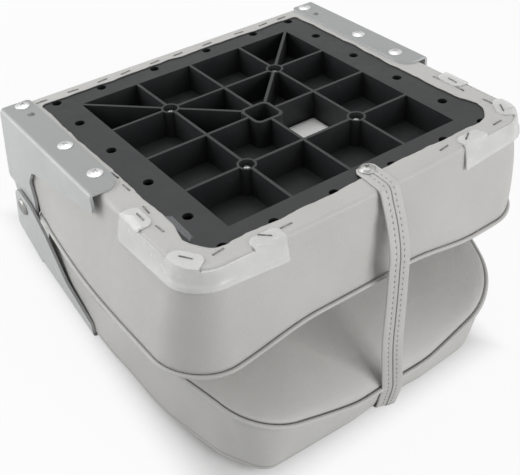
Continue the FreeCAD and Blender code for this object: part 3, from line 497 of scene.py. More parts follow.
# %% Stack of the seat cushion
PANEL_SIZES = np.concatenate([np.linspace(0.04, 0.86, 18), [0.90, 0.93, 0.955, 0.975, 0.99]])
PANEL_LIP = 2.5  # start of a panel past its seam
SEAT_CROWN, SEAT_PANEL_CAP, BOXING_CAP = 11.0, 3.5, 2.0
STRAP_DENT, STRAP_DENT_X, STRAP_DENT_HALF = 4.0, 2.0, 18.0
EDGE_OUT, EDGE_R, RIM_VINYL, RIM_GAP = 0.6, 5.0, 1.25, 0.12  # fold of the vinyl onto the rim
PAN_GAP, HOLLOW_DEPTH = 0.25, 32.0  # hollow round the pan


def lay(outline, z, seam=0.0, hold=1.0, cap=0.0):
    """One outline of a stack at its height, with its painted seam shade, hold and largest swell."""
    heights = np.broadcast_to(np.asarray(z, float), (len(outline),))
    return np.column_stack([outline, heights]), seam, hold, cap


def crown(size):
    """Height of a stuffed face over its seam, from 1 in the middle to 0 at the seam."""
    return (1 - size ** 5) ** 0.8


seat_stack = []
seat_middle = np.array([0.0, (seat_seam[:, 1].min() + seat_seam[:, 1].max()) / 2])
for size in PANEL_SIZES:
    face = seat_middle + (seat_seam - seat_middle) * size
    seat_stack.append(lay(face, seat_seam_z(face) - PANEL_LIP - SEAT_CROWN * crown(size), 0.0,
                          0.0 if size < 0.96 else 0.8, SEAT_PANEL_CAP))
seam_out = outward(seat_seam)
# Levels at the seam; the third value paints shade into the grooves beside the piping.
for pull, rise, dark in ((-1.0, -2.0, 0.2), (-1.6, 0.0, 0.5), (-0.8, 1.7, 0.15), (-0.2, 2.7, 0.0)):
    seat_stack.append(lay(seat_seam + seam_out * pull, seat_seam_z(seat_seam) + rise, dark))
for share in np.concatenate([[0.94, 0.91], np.linspace(0.86, 0.06, 20)]):
    swell = SEAT_SWELL * 4 * share * (1 - share) - 0.7 * (1 - smooth(0.15, 0.45, share))
    outline = boxing_ring(share, swell)
    under_strap = np.exp(-((outline[:, 0] - STRAP_DENT_X) / STRAP_DENT_HALF) ** 2)
    under_strap *= smooth(-140, -160, outline[:, 1])
    outline[:, 1] += STRAP_DENT * under_strap * smooth(0.1, 0.35, share) * smooth(1.0, 0.75, share)
    height = -SEAT_ROLL_DEPTH + share * (seat_seam_z(seat_seam) + SEAT_ROLL_DEPTH)
    seat_stack.append(lay(outline, height, 0.0, 1.0 if share > 0.88 or share < 0.32 else 0.25, BOXING_CAP))
for angle in np.linspace(0, math.pi / 2, 9):
    seat_stack.append(lay(pan_edge + pan_out * (EDGE_OUT + EDGE_R * math.cos(angle)),
                          RIM_VINYL - EDGE_R + EDGE_R * math.sin(angle)))
inner = pan_edge + pan_out * EDGE_OUT
for share in (0.3, 0.6, 0.82, 0.95):
    seat_stack.append(lay(inner + (cut_edge - inner) * share, RIM_VINYL))
# Levels on the cut edge; the third value paints the shadow of the edge on the rim.
for push, height, dark in ((0.15, 1.15, 0.25), (0.0, 0.75, 0.85), (0.15, RIM_GAP, 0.9)):
    seat_stack.append(lay(cut_edge + cut_out * push, height, dark))
round_pan = pan_edge + pan_out * PAN_GAP
seat_stack += [lay(round_pan, RIM_GAP), lay(round_pan, -HOLLOW_DEPTH), lay(pan_edge * 0.5, -HOLLOW_DEPTH)]
print("seat stack of", len(seat_stack), "outlines")

# %% [markdown]
# Foam and a sewn cover are never quite even, so the boxing gets slow, shallow waves. Then a short cloth
# simulation blows the skin up: seams, the rolled edge and everything on the rim are held, the open fields may
# swell, and a limit on the swell keeps the cushion in the space of its solid. Drawing the swell by hand would
# look regular, and a full simulation of foam and cover would be slow.

# %% Swell a cover
SWELL_FRAMES = 16


def swell_cover(cover, hold, cap):
    """Blow up the free parts of a cover with a short cloth simulation; cap is the largest move in mm."""
    group = cover.vertex_groups.new(name="held")
    for weight in np.unique(hold):
        group.add(np.flatnonzero(hold == weight).tolist(), float(weight), "REPLACE")
    before = np.empty(len(cover.data.vertices) * 3, np.float32)
    cover.data.vertices.foreach_get("co", before)
    cloth = cover.modifiers.new("swell", "CLOTH")
    settings = cloth.settings
    settings.quality, settings.mass = 5, 0.25
    settings.tension_stiffness = settings.compression_stiffness = 18
    settings.shear_stiffness, settings.bending_stiffness = 6, 1.0
    settings.use_pressure, settings.uniform_pressure_force = True, 4.0
    settings.vertex_group_mass = "held"
    settings.effector_weights.gravity = 0
    cloth.collision_settings.use_collision = False
    cloth.point_cache.frame_start, cloth.point_cache.frame_end = 1, SWELL_FRAMES
    for step in range(1, SWELL_FRAMES + 1):
        scene.frame_set(step)
    shape = cover.evaluated_get(bpy.context.evaluated_depsgraph_get()).to_mesh()
    after = np.empty_like(before)
    shape.vertices.foreach_get("co", after)
    cover.modifiers.remove(cloth)
    cover.vertex_groups.remove(group)
    scene.frame_set(1)
    move = (after - before).reshape(-1, 3)
    length = np.linalg.norm(move, axis=1)
    limit = np.minimum(length, np.asarray(cap) * MM)
    move *= (limit / np.maximum(length, 1e-9))[:, None]
    cover.data.vertices.foreach_set("co", (before.reshape(-1, 3) + move).ravel())
    cover.data.update()
    print(cover.name, "swelled by up to", round(float(limit.max()) / MM, 1), "mm")


print("a cover swells over", SWELL_FRAMES, "frames")

# %% Make the seat cushion
UNEVEN = 0.9


def unsettle(points, free, size, seed):
    """Push an outline in and out in slow waves, as far as it is free."""
    points[:, :2] += outward(points[:, :2]) * (UNEVEN * free * waves(points, size, seed))[:, None]


def cushion(name, stack, place):
    """Closed cover over a stack, with its painted seam shades stored; returns the piece, its holds and swells."""
    count = len(stack[0][0])
    points, faces = skin([level[0] for level in stack])
    made = piece(name, points, faces, place, cover_vinyl)
    seam, hold, cap = ([level[k] for level in stack for _ in range(count)] + [stack[0][k], stack[-1][k]]
                       for k in (1, 2, 3))
    note(made, "seam", seam)
    return made, np.array(hold), np.array(cap)


for points, _, hold, cap in seat_stack:
    if cap:
        unsettle(points, (1 - hold) * smooth(-14, -40, points[:, 2]), 70, 4)
seat_cushion, seat_hold, seat_cap = cushion("seat_cushion", seat_stack, SEAT)
swell_cover(seat_cushion, seat_hold, seat_cap)
stand_in(seat_cushion, "seat", "vinyl", "seat_foam", "seat_boxing", "seat_panel")
print("seat cushion of", len(seat_cushion.data.polygons), "faces")

# %% [markdown]
# ## Back cushion
# The back is a second padded cover, made in the same way. Its front corners stand up, and the closing strap
# draws the middle of its top edge down, so the seam is not flat: a lift is added along it that fades out and
# rises again beside the arms. The left side sags outwards a little, where the cover is slack.

# %% Outlines of the back
STRAP_X, DIP_HALF = 8.0, 46.0
BACK_SIDE_R = 300.0
BACK_LENGTH, BACK_REAR, BACK_WIDE, BACK_ROLL = 331.0, 7.0, 12.0, 6.0
BACK_TOP_HEIGHT, BACK_HINGE_HEIGHT, BACK_SETBACK = 66.0, 40.0, 5.0
HINGE_LIFT, CORNER_LIFT, STRAP_PULL, SAG = 22.5, 22.0, 24.0, 11.0
BACK_COUNTS = [(16, 16), (8, 4), (10, 4), (8, 16), (16, 26), (14, 24), (12, 56), (12, 24), (14, 26)]


def back_ring(half_top, half_wide, half_hinge, top, wide, r_left, r_right, r_hinge, bow, dip):
    corners = [(-half_top, bow - top), (STRAP_X - DIP_HALF, -top), (STRAP_X, dip - top),
               (STRAP_X + DIP_HALF, -top), (half_top, bow - top), (half_wide, -wide), (half_hinge, 0),
               (-half_hinge, 0), (-half_wide, -wide)]
    radii = [r_left, 3 * DIP_HALF, 2 * DIP_HALF, 3 * DIP_HALF, r_right, BACK_SIDE_R, r_hinge, r_hinge,
             BACK_SIDE_R]
    return ring(corners, radii, BACK_COUNTS)


def back_plane(y):
    return BACK_HINGE_HEIGHT - y * (BACK_TOP_HEIGHT - BACK_HINGE_HEIGHT) / (BACK_LENGTH - BACK_SETBACK)


def back_lift(points):
    """Rise of the seam over its plane: corners up, middle of the top edge down, up again beside the arms."""
    x, y = points.T
    along = smooth(-90, -200, y)
    top = smooth(-250, -310, y)
    aside = smooth(20, 200, np.abs(x - STRAP_X))
    hinge = HINGE_LIFT * smooth(-120, -45, y) * smooth(110, 178, np.abs(x))
    return hinge + CORNER_LIFT * along * (1 - top * (1 - aside)) - STRAP_PULL * top * (1 - aside)


back_wide = back_ring(half_top=143.0, half_wide=199.0, half_hinge=194.0, top=BACK_LENGTH, wide=156.0,
                      r_left=20.0, r_right=48.0, r_hinge=14.0, bow=4.0, dip=3.0)
sag = smooth(-160, -240, back_wide[:, 1]) * smooth(-328, -285, back_wide[:, 1])
back_wide[:, 0] -= SAG * sag * (back_wide[:, 0] < 0)
back_seam = back_ring(half_top=152.0, half_wide=189.0, half_hinge=191.0, top=BACK_LENGTH - 2, wide=194.0,
                      r_left=64.0, r_right=64.0, r_hinge=7.0, bow=10.5, dip=1.5)
back_seam_z = back_plane(back_seam[:, 1]) + back_lift(back_seam)
print("back outline of", len(back_seam), "points, seam from", round(back_seam_z.min()), "to",
      round(back_seam_z.max()))

# %% [markdown]
# The stack goes from the front panel over the seam, down the boxing and round the rolled edge to the rear.
# Two faint dark levels near the rear edge are painted shade, on the line where the vinyl is turned and in
# the crease under it.

# %% Stack and cover of the back
BACK_CROWN, BACK_PANEL_CAP, BACK_SWELL = 13.0, 2.5, 1.2
# Levels with painted shade: the turn line of the vinyl and the crease under it.
TURN_LINE, CREASE = 0.055, 4
back_stack = []
back_middle = np.array([0.0, -BACK_LENGTH / 2])
for size in PANEL_SIZES:
    face = back_middle + (back_seam - back_middle) * size
    height = back_plane(face[:, 1]) + back_lift(back_seam) * size ** 3 + PANEL_LIP + BACK_CROWN * crown(size)
    back_stack.append(lay(face, height, 0.0, 0.0 if size < 0.955 else 0.8, BACK_PANEL_CAP))
back_seam_out = outward(back_seam)
# Levels at the seam; the third value paints shade into the grooves beside the piping.
for pull, rise, dark in ((-1.2, 2.2, 0.25), (-2.2, 0.0, 0.8), (-1.8, -2.1, 0.7), (-1.0, -3.3, 0.3)):
    back_stack.append(lay(back_seam + back_seam_out * pull, back_seam_z + rise, dark))
for share in np.concatenate([[0.90, 0.86], np.linspace(0.80, 0.12, 10), [0.075, TURN_LINE, 0.035, 0.0]]):
    outline = back_wide + (back_seam - back_wide) * share
    outline = outline + outward(outline) * (BACK_SWELL * 4 * share * (1 - share))
    height = BACK_WIDE + share * (back_seam_z - BACK_WIDE)
    back_stack.append(lay(outline, height, 0.55 if share == TURN_LINE else 0.0,
                          0.4 if 0.25 < share < 0.8 else 1.0, BOXING_CAP))
wide_out = outward(back_wide)
# Rolled edge to the rear, with painted shade on its crease level.
for k in range(1, 7):
    angle = math.pi / 2 * k / 6
    back_stack.append(lay(back_wide + wide_out * (-BACK_ROLL + BACK_ROLL * math.cos(angle)),
                          BACK_WIDE - (BACK_WIDE - BACK_REAR) * math.sin(angle), 0.3 if k == CREASE else 0.0))
for size in (0.92, 0.8, 0.6, 0.35):
    back_stack.append(lay(back_middle + (back_wide - back_middle) * size, BACK_REAR))
for points, _, hold, cap in back_stack:
    if cap:
        unsettle(points, 1 - hold, 80, 6)
back_cushion, back_hold, back_cap = cushion("back_cushion", back_stack, BACK)
swell_cover(back_cushion, back_hold, back_cap)
stand_in(back_cushion, "back", "vinyl", "back_foam", "back_boxing", "back_panel")
print("back cushion of", len(back_cushion.data.polygons), "faces")

# %% [markdown]
# ## Piping
# The piping is a cord in a folded strip of vinyl, sewn into the seam. It follows a path, so Geometry Nodes
# make it: the seam is a closed polyline, and the tree sweeps a round section along it with slow changes of
# thickness. A bevelled curve would be as quick, but dead even.

# %% Piping tree
def new_tree(name, *sizes):
    """Geometry Nodes tree with a geometry input and named number inputs."""
    tree = bpy.data.node_groups.new(name, "GeometryNodeTree")
    sockets = tree.interface
    sockets.new_socket("Geometry", in_out="INPUT", socket_type="NodeSocketGeometry")
    for label, default in sizes:
        sockets.new_socket(label, in_out="INPUT", socket_type="NodeSocketFloat").default_value = default
    sockets.new_socket("Geometry", in_out="OUTPUT", socket_type="NodeSocketGeometry")
    return tree, add(tree, "NodeGroupInput").outputs


def close_tree(tree, geometry, material):
    """Give a tree's result its material and hand it out as real geometry."""
    real = out(tree, "GeometryNodeRealizeInstances", {0: geometry})
    dress = out(tree, "GeometryNodeSetMaterial", {"Geometry": real, "Material": material})
    add(tree, "NodeGroupOutput", {"Geometry": dress})


def grow(name, points, edges, tree, values, place, attributes=None):
    """Run a tree on points in millimetres and keep the result as a plain mesh piece."""
    mesh = bpy.data.meshes.new(name)
    mesh.from_pydata((np.asarray(points) * MM).tolist(), edges, [])
    seed = show(name + "_seed", mesh)
    for label, numbers in (attributes or {}).items():
        note(seed, label, numbers)
    modifier = seed.modifiers.new("grow", "NODES")
    modifier.node_group = tree
    sockets = {item.name: item.identifier for item in tree.interface.items_tree if item.in_out == "INPUT"}
    for label, value in values.items():
        modifier[sockets[label]] = value
    bpy.context.view_layer.update()
    plain = bpy.data.meshes.new_from_object(seed.evaluated_get(bpy.context.evaluated_depsgraph_get()))
    plain.name = name
    bpy.data.objects.remove(seed)
    plain.transform(place)
    plain.polygons.foreach_set("use_smooth", [True] * len(plain.polygons))
    print(name, "grown:", len(plain.polygons), "faces")
    return show(name, plain)


piping_tree, size_in = new_tree("piping_tree", ("Diameter", 0.006), ("Wander", 0.0002))
path = out(piping_tree, "GeometryNodeMeshToCurve", {"Mesh": size_in["Geometry"]})
wave = add(piping_tree, "ShaderNodeTexNoise", {"Scale": 24.0, "Detail": 1.0}).outputs["Fac"]
thick = calc(piping_tree, "MULTIPLY", calc(piping_tree, "SUBTRACT", wave, 0.5), size_in["Wander"])
radius = calc(piping_tree, "ADD", calc(piping_tree, "MULTIPLY", size_in["Diameter"], 0.5), thick)
section = out(piping_tree, "GeometryNodeCurvePrimitiveCircle", {"Resolution": 14, "Radius": 1.0})
tube = add(piping_tree, "GeometryNodeCurveToMesh", {"Curve": path, "Profile Curve": section, "Scale": radius})
close_tree(piping_tree, tube.outputs[0], cover_vinyl)
print("piping tree of", len(piping_tree.nodes), "nodes")

# %% [markdown]
# The tree runs twice, once along each seam. A cord stands a little out of its seam, so that about half of it
# shows past the boxing.

# %% Seat piping and back piping
SEAT_CORD, SEAT_CORD_OUT, BACK_CORD, BACK_CORD_OUT = 3.9, 1.2, 4.5, 1.5


def closed_edges(points):
    return [(k, (k + 1) % len(points)) for k in range(len(points))]


seat_cord = np.column_stack([seat_seam + seam_out * SEAT_CORD_OUT, seat_seam_z(seat_seam)])
back_cord = np.column_stack([back_seam + back_seam_out * BACK_CORD_OUT, back_seam_z])
for name, cord, size, place, body, node in (
        ("seat_welt", seat_cord, SEAT_CORD, SEAT, "seat", "seat_piping"),
        ("back_welt", back_cord, BACK_CORD, BACK, "back", "back_piping")):
    welt = grow(name, cord, closed_edges(cord), piping_tree, {"Diameter": size * MM, "Wander": 0.0006}, place)
    stand_in(welt, body, "vinyl", node)

# %% [markdown]
# ## Closing strap
# The strap is a strip of vinyl folded over itself and sewn down with two lines. It runs from its screw on the
# rim, over the front edge, down to the back and under it. Its section is drawn once, with the step of the
# folded edge, and carried along the bends with a little lean and twist. A simulated strap would hang well,
# but not on this route.

# %% Route of the strap
def on_chair(y, z):
    """A point of the seat's frame in the frame of the back, both in millimetres."""
    point = BACK.inverted() @ SEAT @ Vector((0, y * MM, z * MM))
    return point.y / MM, point.z / MM


def bent(points, radii, step):
    """Points along an open line with rounded bends."""
    points = [np.array(p, float) for p in points]
    made = [points[0]]
    for before, corner, after, radius in zip(points, points[1:], points[2:], radii):
        a, b = before - corner, after - corner
        a, b = a / np.linalg.norm(a), b / np.linalg.norm(b)
        half = math.acos(np.clip(a @ b, -1, 1)) / 2
        reach = radius / math.tan(half)
        middle = (a + b) / np.linalg.norm(a + b)
        centre = corner + middle * radius / math.sin(half)
        first, last = corner + a * reach, corner + b * reach
        for share in np.linspace(0, 1, max(3, int(radius * (math.pi - 2 * half) / step) + 1)):
            ray = first + (last - first) * share - centre
            made.append(centre + ray / np.linalg.norm(ray) * radius)
    made.append(points[-1])
    line = [made[0]]
    for point in made[1:]:
        gap = point - line[-1]
        count = max(1, int(np.linalg.norm(gap) / (2 * step)))
        line += [line[-1] + gap * k / count for k in range(1, count + 1)]
    return np.array(line)


STRAP_ROUTE = (on_chair(-134.0, 2.4), on_chair(-170.0, 2.4),  # on the rim, from its end to the front edge
               on_chair(-188.0, -60.0), (-334.2, 46.0),        # down past the seat to the seam of the back
               (-335.0, 2.6), (-301.5, 2.6))                   # round the edge of the back and under it
STRAP_BENDS = (7, 90, 60, 9)
strap_line = bent(STRAP_ROUTE, STRAP_BENDS, 2.0)
strap_along = unit(np.gradient(strap_line, axis=0))
strap_up = np.stack([strap_along[:, 1], -strap_along[:, 0]], 1)
strap_length = np.concatenate([[0], np.cumsum(np.linalg.norm(np.diff(strap_line, axis=0), axis=1))])
print("strap route of", round(strap_length[-1]), "mm")

# %% Strap
STRAP_SECTION = [(-10.1, -1.0), (-10.5, -0.4), (-10.1, 0.3), (-9.2, 0.45), (-4.4, 0.45), (-3.8, 0.3),
                 (-3.2, 0.45), (-0.1, 0.42), (0.3, 0.36), (0.6, 1.0), (1.2, 1.15), (9.2, 1.12), (10.0, 1.0),
                 (10.5, 0.4), (10.5, -0.5), (9.9, -1.05)]
# The folded edge gets painted shade, stored as a seam value.
STRAP_STEP = (8, 9)  # points of the folded edge, shaded as a seam
LEAN_AT, LEAN = (10, 38, 70, 106, 150, 200, 260, 296, 330), (8, 5, 8, 5.5, 3, -1, 1, 3, 8)
TWIST_AT, TWIST = (40, 110, 240, 285, 308, 322), (0, 10, 24, 18, 8, 0)
ROUNDED_END, END_TAPER = 4.0, 0.28
strap_lean = np.interp(strap_length, LEAN_AT, LEAN)
strap_twist = np.radians(np.interp(strap_length, TWIST_AT, TWIST))
for _ in range(12):
    for row in (strap_lean, strap_twist):
        row[1:-1] = (row[:-2] + 2 * row[1:-1] + row[2:]) / 4


def across_strap(u, v):
    """Line along the strap at u across it and v over its middle, with its lean and twist."""
    ends = np.minimum(strap_length, strap_length[-1] - strap_length)
    u = u * (1 - END_TAPER * (1 - np.minimum(ends / ROUNDED_END, 1)) ** 2)
    rise = v * np.cos(strap_twist) + u * np.sin(strap_twist)
    return np.column_stack([strap_lean + u * np.cos(strap_twist) - v * np.sin(strap_twist),
                            strap_line + strap_up * rise[:, None]])


strap_loops = list(np.stack([across_strap(u, v) for u, v in STRAP_SECTION], axis=1))
strap = piece("strap_band", *skin(strap_loops), BACK, strap_vinyl)
# Painted shade along the step of the folded edge.
fold_painted_shade = [0.6 if k in STRAP_STEP else 0.0 for k in range(len(STRAP_SECTION))]
note(strap, "seam", fold_painted_shade * len(strap_loops) + [0, 0])
print("strap of", len(strap.data.polygons), "faces")

# %% [markdown]
# The stitches are too many to place by hand: a tree walks along the sewn line and sets one short thread every
# few millimetres, turned along the line and nudged a little by a seeded random value.

# %% Stitch tree and stitches
STITCH_ROWS = ((-3.8, 0.5), (4.2, 1.2))
stitch_tree, size_in = new_tree("stitch_tree", ("Pitch", 0.0042), ("Length", 0.0030), ("Thread", 0.0008),
                                ("Jitter", 0.0002))
path = out(stitch_tree, "GeometryNodeMeshToCurve", {"Mesh": size_in["Geometry"]})
walk = add(stitch_tree, "GeometryNodeCurveToPoints", {"Curve": path, "Length": size_in["Pitch"]},
           mode="LENGTH").outputs
turned = out(stitch_tree, "FunctionNodeAlignRotationToVector", {"Vector": walk["Tangent"]},
             axis="X")
ball = out(stitch_tree, "GeometryNodeMeshUVSphere", {"Segments": 8, "Rings": 5, "Radius": 0.5})
stretch = out(stitch_tree, "ShaderNodeCombineXYZ", {"X": size_in["Length"], "Y": size_in["Thread"],
                                                    "Z": size_in["Thread"]})
thread = out(stitch_tree, "GeometryNodeTransform", {"Geometry": ball, "Scale": stretch})
less = calc(stitch_tree, "MULTIPLY", size_in["Jitter"], -1.0)
nudge = add(stitch_tree, "FunctionNodeRandomValue", {2: less, 3: size_in["Jitter"], "Seed": 7},
            data_type="FLOAT").outputs[1]
offset = out(stitch_tree, "ShaderNodeCombineXYZ", {"X": nudge})
moved = out(stitch_tree, "GeometryNodeSetPosition", {"Geometry": walk["Points"], "Offset": offset})
sewn = out(stitch_tree, "GeometryNodeInstanceOnPoints", {"Points": moved, "Instance": thread,
                                                         "Rotation": turned})
close_tree(stitch_tree, sewn, thread_vinyl)
rows = [across_strap(u, v)[2:-2] for u, v in STITCH_ROWS]
count = len(rows[0])
steps = [(side * count + k, side * count + k + 1) for side in (0, 1) for k in range(count - 1)]
stitches = grow("strap_stitches", np.concatenate(rows), steps, stitch_tree,
                {"Pitch": 0.0058, "Length": 0.0026, "Thread": 0.0011, "Jitter": 0.00015}, BACK)

# %% [markdown]
# ## Screw heads, guards and snap
# These solids are right in size and place, and only a detail of their form differs. The screw heads stand
# nearer to the mouths of their wells, and the guards' lower edge lifts where they bend round the corner. A
# copy of each solid is reshaped in the seat frame, so all else stays as it was packed. The snap is copied as
# it is: it hangs on the strap.

# %% Reshaped copies
HEAD_FOOT, HEAD_STRETCH = -8.0 * MM, 0.7  # the heads are drawn out above their foot
GUARD_X, GUARD_Y, GUARD_REACH, GUARD_LIFT = 172.0, -152.0, 45.0, 6.0


def welded_copy(name, node, finish):
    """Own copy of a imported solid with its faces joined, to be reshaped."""
    mesh = nodes[node].data.copy()
    work = bmesh.new()
    work.from_mesh(mesh)
    bmesh.ops.remove_doubles(work, verts=work.verts, dist=1e-6)
    work.to_mesh(mesh)
    work.free()
    mesh.materials.clear()
    mesh.materials.append(finish)
    return show(name, mesh)


snap = welded_copy("strap_snap_socket", "strap_snap", snap_metal)
pan_heads = welded_copy("pan_screw_heads", "pan_screws", bright_metal)
pan_heads.data.transform(SEAT.inverted())
for vertex in pan_heads.data.vertices:
    vertex.co.z += HEAD_STRETCH * max(vertex.co.z - HEAD_FOOT, 0)
pan_heads.data.transform(SEAT)
stand_in(pan_heads, "seat", "screw", "pan_screws")
for side, sign in (("left", -1), ("right", 1)):
    guard = welded_copy("guard_" + side, "corner_guard_" + side, guard_plastic)
    guard.data.transform(SEAT.inverted())
    for vertex in guard.data.vertices:
        x, y, z = vertex.co / MM
        near = math.exp(-(math.hypot(x - sign * GUARD_X, y - GUARD_Y) / GUARD_REACH) ** 2)
        vertex.co.z += GUARD_LIFT * MM * near * float(smooth(-9, -20, z))
    guard.data.transform(SEAT)
    stand_in(guard, "seat", "guard", "corner_guard_" + side)
print("reshaped copies", pan_heads.name, "and the guards, copied", snap.name)

# %% Strap, stitches and snap on the seat
stand_in(strap, "seat", "strap", "strap")
stand_in(snap, "seat", "snap", "strap_snap")
stand_in(stitches, "seat", "strap")
for soft in (strap, snap, stitches):
    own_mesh(soft)

# %% [markdown]
# ## Staples
# The cover is stapled to the rim every few centimetres, and each tab of a guard has its own staple. The tree
# makes one staple from three short wires and sets it on every point that it is given. The turn of each staple
# is stored on its point, and a seeded random value leaves the row a little untidy.

# %% Staple tree
staple_tree, size_in = new_tree("staple_tree", ("Crown", 0.0115), ("Leg", 0.0022), ("Wire", 0.0011),
                                ("Askew", 0.16))
half = calc(staple_tree, "MULTIPLY", size_in["Crown"], 0.5)
minus = calc(staple_tree, "MULTIPLY", half, -1.0)
down = calc(staple_tree, "MULTIPLY", size_in["Leg"], -1.0)
places = [out(staple_tree, "ShaderNodeCombineXYZ", {"X": x, "Z": z})
          for x, z in ((minus, down), (minus, 0.0), (half, 0.0), (half, down))]
wires = add(staple_tree, "GeometryNodeJoinGeometry")
for begin, end in zip(places, places[1:]):
    wire = out(staple_tree, "GeometryNodeCurvePrimitiveLine", {"Start": begin, "End": end})
    staple_tree.links.new(wire, wires.inputs[0])
radius = calc(staple_tree, "MULTIPLY", size_in["Wire"], 0.5)
section = out(staple_tree, "GeometryNodeCurvePrimitiveCircle", {"Resolution": 7, "Radius": radius})
staple = out(staple_tree, "GeometryNodeCurveToMesh", {"Curve": wires.outputs[0], "Profile Curve": section,
                                                      "Fill Caps": True})
yaw = out(staple_tree, "GeometryNodeInputNamedAttribute", {"Name": "yaw"}, data_type="FLOAT")
less = calc(staple_tree, "MULTIPLY", size_in["Askew"], -1.0)
random_turn = add(staple_tree, "FunctionNodeRandomValue", {2: less, 3: size_in["Askew"], "Seed": 11},
                  data_type="FLOAT").outputs[1]
euler = out(staple_tree, "ShaderNodeCombineXYZ", {"Z": calc(staple_tree, "ADD", yaw, random_turn)})
rotation = out(staple_tree, "FunctionNodeEulerToRotation", {"Euler": euler})
stapled = out(staple_tree, "GeometryNodeInstanceOnPoints", {"Points": size_in["Geometry"], "Instance": staple,
                                                            "Rotation": rotation})
close_tree(staple_tree, stapled, staple_wire)
print("staple tree of", len(staple_tree.nodes), "nodes")

# %% [markdown]
# The rows are uneven on the real chair, since they are shot by hand, so their places are listed. The staples
# along the rear and the front lie along the edge, those on the sides are turned, and a tab has its own turn.

# %% Staples along the rim and on the guards
ON_VINYL, ON_GUARD, REAR_Y = 1.5, 2.9, 155.2
REAR_ROW = (-156, -122, -88.5, -61.5, -26, 3, 40.5, 83, 116.5, 143)
LEFT_ROW = ((-163, -7), (-164.5, -29.5), (-167.5, -67.5), (-172, -96.5))
RIGHT_ROW = ((172.5, -62), (173.5, -90.5), (175, -124.5))
FRONT_ROW = ((-152, -149.5), (-92, -156.5), (84, -156), (124.5, -157.5), (152, -157))
TABS = ((-177, -74.5, 1.5), (-176, -141, -1.0), (-113.5, -157, -0.7), (178.5, -76, -1.5), (174, -143, 1.0),
        (112, -157, 0.7))
spots = [(x, REAR_Y, ON_VINYL, 0.0) for x in REAR_ROW]
spots += [(x, y, ON_VINYL, math.pi / 2) for x, y in LEFT_ROW + RIGHT_ROW]
spots += [(x, y, ON_VINYL, 0.05) for x, y in FRONT_ROW]
spots += [(x, y, ON_GUARD, yaw) for x, y, yaw in TABS]
staples = grow("rim_staples", [spot[:3] for spot in spots], [], staple_tree,
               {"Crown": 0.0108, "Leg": 0.0022, "Wire": 0.0014, "Askew": 0.16}, SEAT,
               {"yaw": [spot[3] for spot in spots]})
stand_in(staples, "seat", "screw")
print(len(spots), "staples")

# %% [markdown]
# ## Sticker and scrap of film
# A blank sticker lies on the floor of one pan cell, and a scrap of clear film is caught between the cover and
# the left guard. Both are thin sheets with a slight curl. A plane would do for the eye, but each is given a
# thickness so that it is closed.

# %% Thin sheets
SHEET_STEPS = 12
STICKER = [(17.5, -3, -27.8), (61, -3, -27.8), (61, -61, -27.8), (17.5, -61, -27.8)]
FILM = [(-161, -84, 1.7), (-155, -88, 0.8), (-157, -122, 1.0), (-164, -128, 3.0)]


def sticker_lift(u, v):
    return 0.3 * u * v


def film_lift(u, v):
    return 0.8 * math.sin(9 * v + 4 * u) ** 2 * v + 1.2 * v ** 3 * (1 - u)


def thin_sheet(name, corners, lift, thickness, material):
    """Closed sheet over four corners in the seat frame; lift is its height at a place of the unit square."""
    a, b, c, d = (np.array(corner, float) for corner in corners)
    steps, wide = SHEET_STEPS, SHEET_STEPS + 1
    grid = []
    for i in range(wide):
        for j in range(wide):
            u, v = i / steps, j / steps
            spot = (1 - u) * (1 - v) * a + u * (1 - v) * b + u * v * c + (1 - u) * v * d
            grid.append((spot[0], spot[1], spot[2] + lift(u, v)))
    top = np.array(grid)
    under = top - np.array((0, 0, thickness))
    size = len(top)
    faces = []
    for i in range(steps):
        for j in range(steps):
            k = i * wide + j
            faces.append((k, k + wide, k + wide + 1, k + 1))
            faces.append((size + k, size + k + 1, size + k + wide + 1, size + k + wide))
    border = ([i * wide for i in range(steps)] + [steps * wide + j for j in range(steps)]
              + [i * wide + steps for i in range(steps, 0, -1)] + [j for j in range(steps, 0, -1)])
    for k, n in zip(border, border[1:] + border[:1]):
        faces.append((k, n, size + n, size + k))
    return piece(name, np.concatenate([top, under]), faces, SEAT, material)


sticker = thin_sheet("pan_sticker", STICKER, sticker_lift, 0.15, label_paper)
film = thin_sheet("film_scrap", FILM, film_lift, 0.12, loose_film)
stand_in(sticker, "seat", "panel")
stand_in(film, "seat", "guard")
print("sheets", sticker.name, film.name)

# %% [markdown]
# ## Floor
# The floor is plain pale paper. On a white ground the far floor should be as white as the surround, but close
# to the chair it has to take its shadow. So the floor glows for the camera away from the chair, and the glow
# fades out under it, where the true paper with its soft contact shadow shows.

# %% Floor
FLOOR_HALF = 6.0
SHADOW = (("X", 0.022, 0.163), ("Y", 0.0, 0.195))  # shift and half width of the patch without glow
FADE_IN, FADE_OUT, GLOW = -0.02, 0.035, 0.9
floor_mesh = bpy.data.meshes.new("floor")
floor_mesh.from_pydata([(-FLOOR_HALF, -FLOOR_HALF, 0), (FLOOR_HALF, -FLOOR_HALF, 0),
                        (FLOOR_HALF, FLOOR_HALF, 0), (-FLOOR_HALF, FLOOR_HALF, 0)], [], [(0, 1, 2, 3)])
tree = floor_paper.node_tree
plain = next(item for item in tree.nodes if item.type == "BSDF_PRINCIPLED")
surface = next(item for item in tree.nodes if item.type == "OUTPUT_MATERIAL").inputs["Surface"]
glow = out(tree, "ShaderNodeEmission", {"Color": (1, 1, 1, 1), "Strength": 1.0})
looked_at = add(tree, "ShaderNodeLightPath").outputs["Is Camera Ray"]
spot = add(tree, "ShaderNodeTexCoord").outputs["Object"]
parts = add(tree, "ShaderNodeSeparateXYZ", {0: spot}).outputs
beyond = [calc(tree, "SUBTRACT", calc(tree, "ABSOLUTE", calc(tree, "ADD", parts[axis], shift)), reach)
          for axis, shift, reach in SHADOW]
share = out(tree, "ShaderNodeMapRange", {"Value": calc(tree, "MAXIMUM", *beyond), "From Min": FADE_IN,
                                         "From Max": FADE_OUT, "To Min": 0.0, "To Max": GLOW},
            interpolation_type="SMOOTHSTEP")
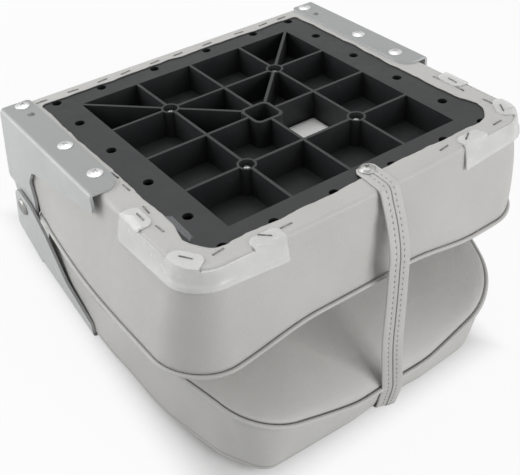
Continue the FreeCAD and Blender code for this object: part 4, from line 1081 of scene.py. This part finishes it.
glowing = calc(tree, "MULTIPLY", looked_at, share)
blend = out(tree, "ShaderNodeMixShader", {0: glowing, 1: plain.outputs[0], 2: glow})
tree.links.new(blend, surface)
floor_mesh.materials.append(floor_paper)
floor = show("floor", floor_mesh)
print("floor of", 2 * FLOOR_HALF, "m")

# %% [markdown]
# ## Light and camera
# Three large soft lamps light the chair: one above the rear, one low at the left rear and one at the right
# front. Large lamps give the soft edges of a studio, where small ones would draw hard shadows in the pan. The
# world is dimmer for lighting than for the camera, so the surround is white and nothing burns. The camera's
# place and lens were fitted to the rib grid of the pan.

# %% Light
AIM = Vector((0, 0, 0.1))
LAMPS = (("key", (0.1, 0.9, 1.7), 1.3, 13), ("left", (-1.45, 1.2, 0.65), 1.4, 23.5),
         ("front", (0.7, -1.6, 1.1), 1.4, 24))
WORLD_LIGHT, WORLD_SEEN = 0.30, 1.0
for name, place, size, power in LAMPS:
    lamp = bpy.data.lights.new(name, "AREA")
    lamp.shape, lamp.size, lamp.energy = "SQUARE", size, power
    made = show(name, lamp)
    made.location = place
    made.rotation_euler = (AIM - Vector(place)).to_track_quat("-Z", "Y").to_euler()
world = bpy.data.worlds.new("studio")
scene.world = world
world.use_nodes = True
tree = world.node_tree
tree.nodes.clear()
rays = add(tree, "ShaderNodeLightPath").outputs
seen = calc(tree, "MAXIMUM", calc(tree, "MAXIMUM", rays["Is Camera Ray"], rays["Is Glossy Ray"]),
            rays["Is Transmission Ray"])
level = out(tree, "ShaderNodeMapRange", {"Value": seen, "To Min": WORLD_LIGHT,
                                         "To Max": WORLD_SEEN})
sky = out(tree, "ShaderNodeBackground", {"Color": (1, 1, 1, 1), "Strength": level})
add(tree, "ShaderNodeOutputWorld", {"Surface": sky})
scene.view_settings.view_transform = "Standard"
print("three soft lamps and a white surround")

# %% Camera
CAMERA_PLACE = (-0.40863, -0.40981, 0.74540)
RIGHT, UP, AHEAD = (0.80366, -0.58342, 0.11723), (0.39282, 0.66809, 0.63194), (0.44701, 0.46182, -0.76610)
lens = bpy.data.cameras.new("camera")
lens.lens, lens.sensor_width, lens.clip_start = 58.4, 36.0, 0.01
camera = show("camera", lens)
turn = Matrix((RIGHT, UP, tuple(-v for v in AHEAD))).transposed()
camera.matrix_world = Matrix.Translation(CAMERA_PLACE) @ turn.to_4x4()
scene.camera = camera
print("camera at", [round(v, 3) for v in camera.location])

# %% [markdown]
# ## The end
# The view layer is brought up to date.

# %% The end
bpy.context.view_layer.update()
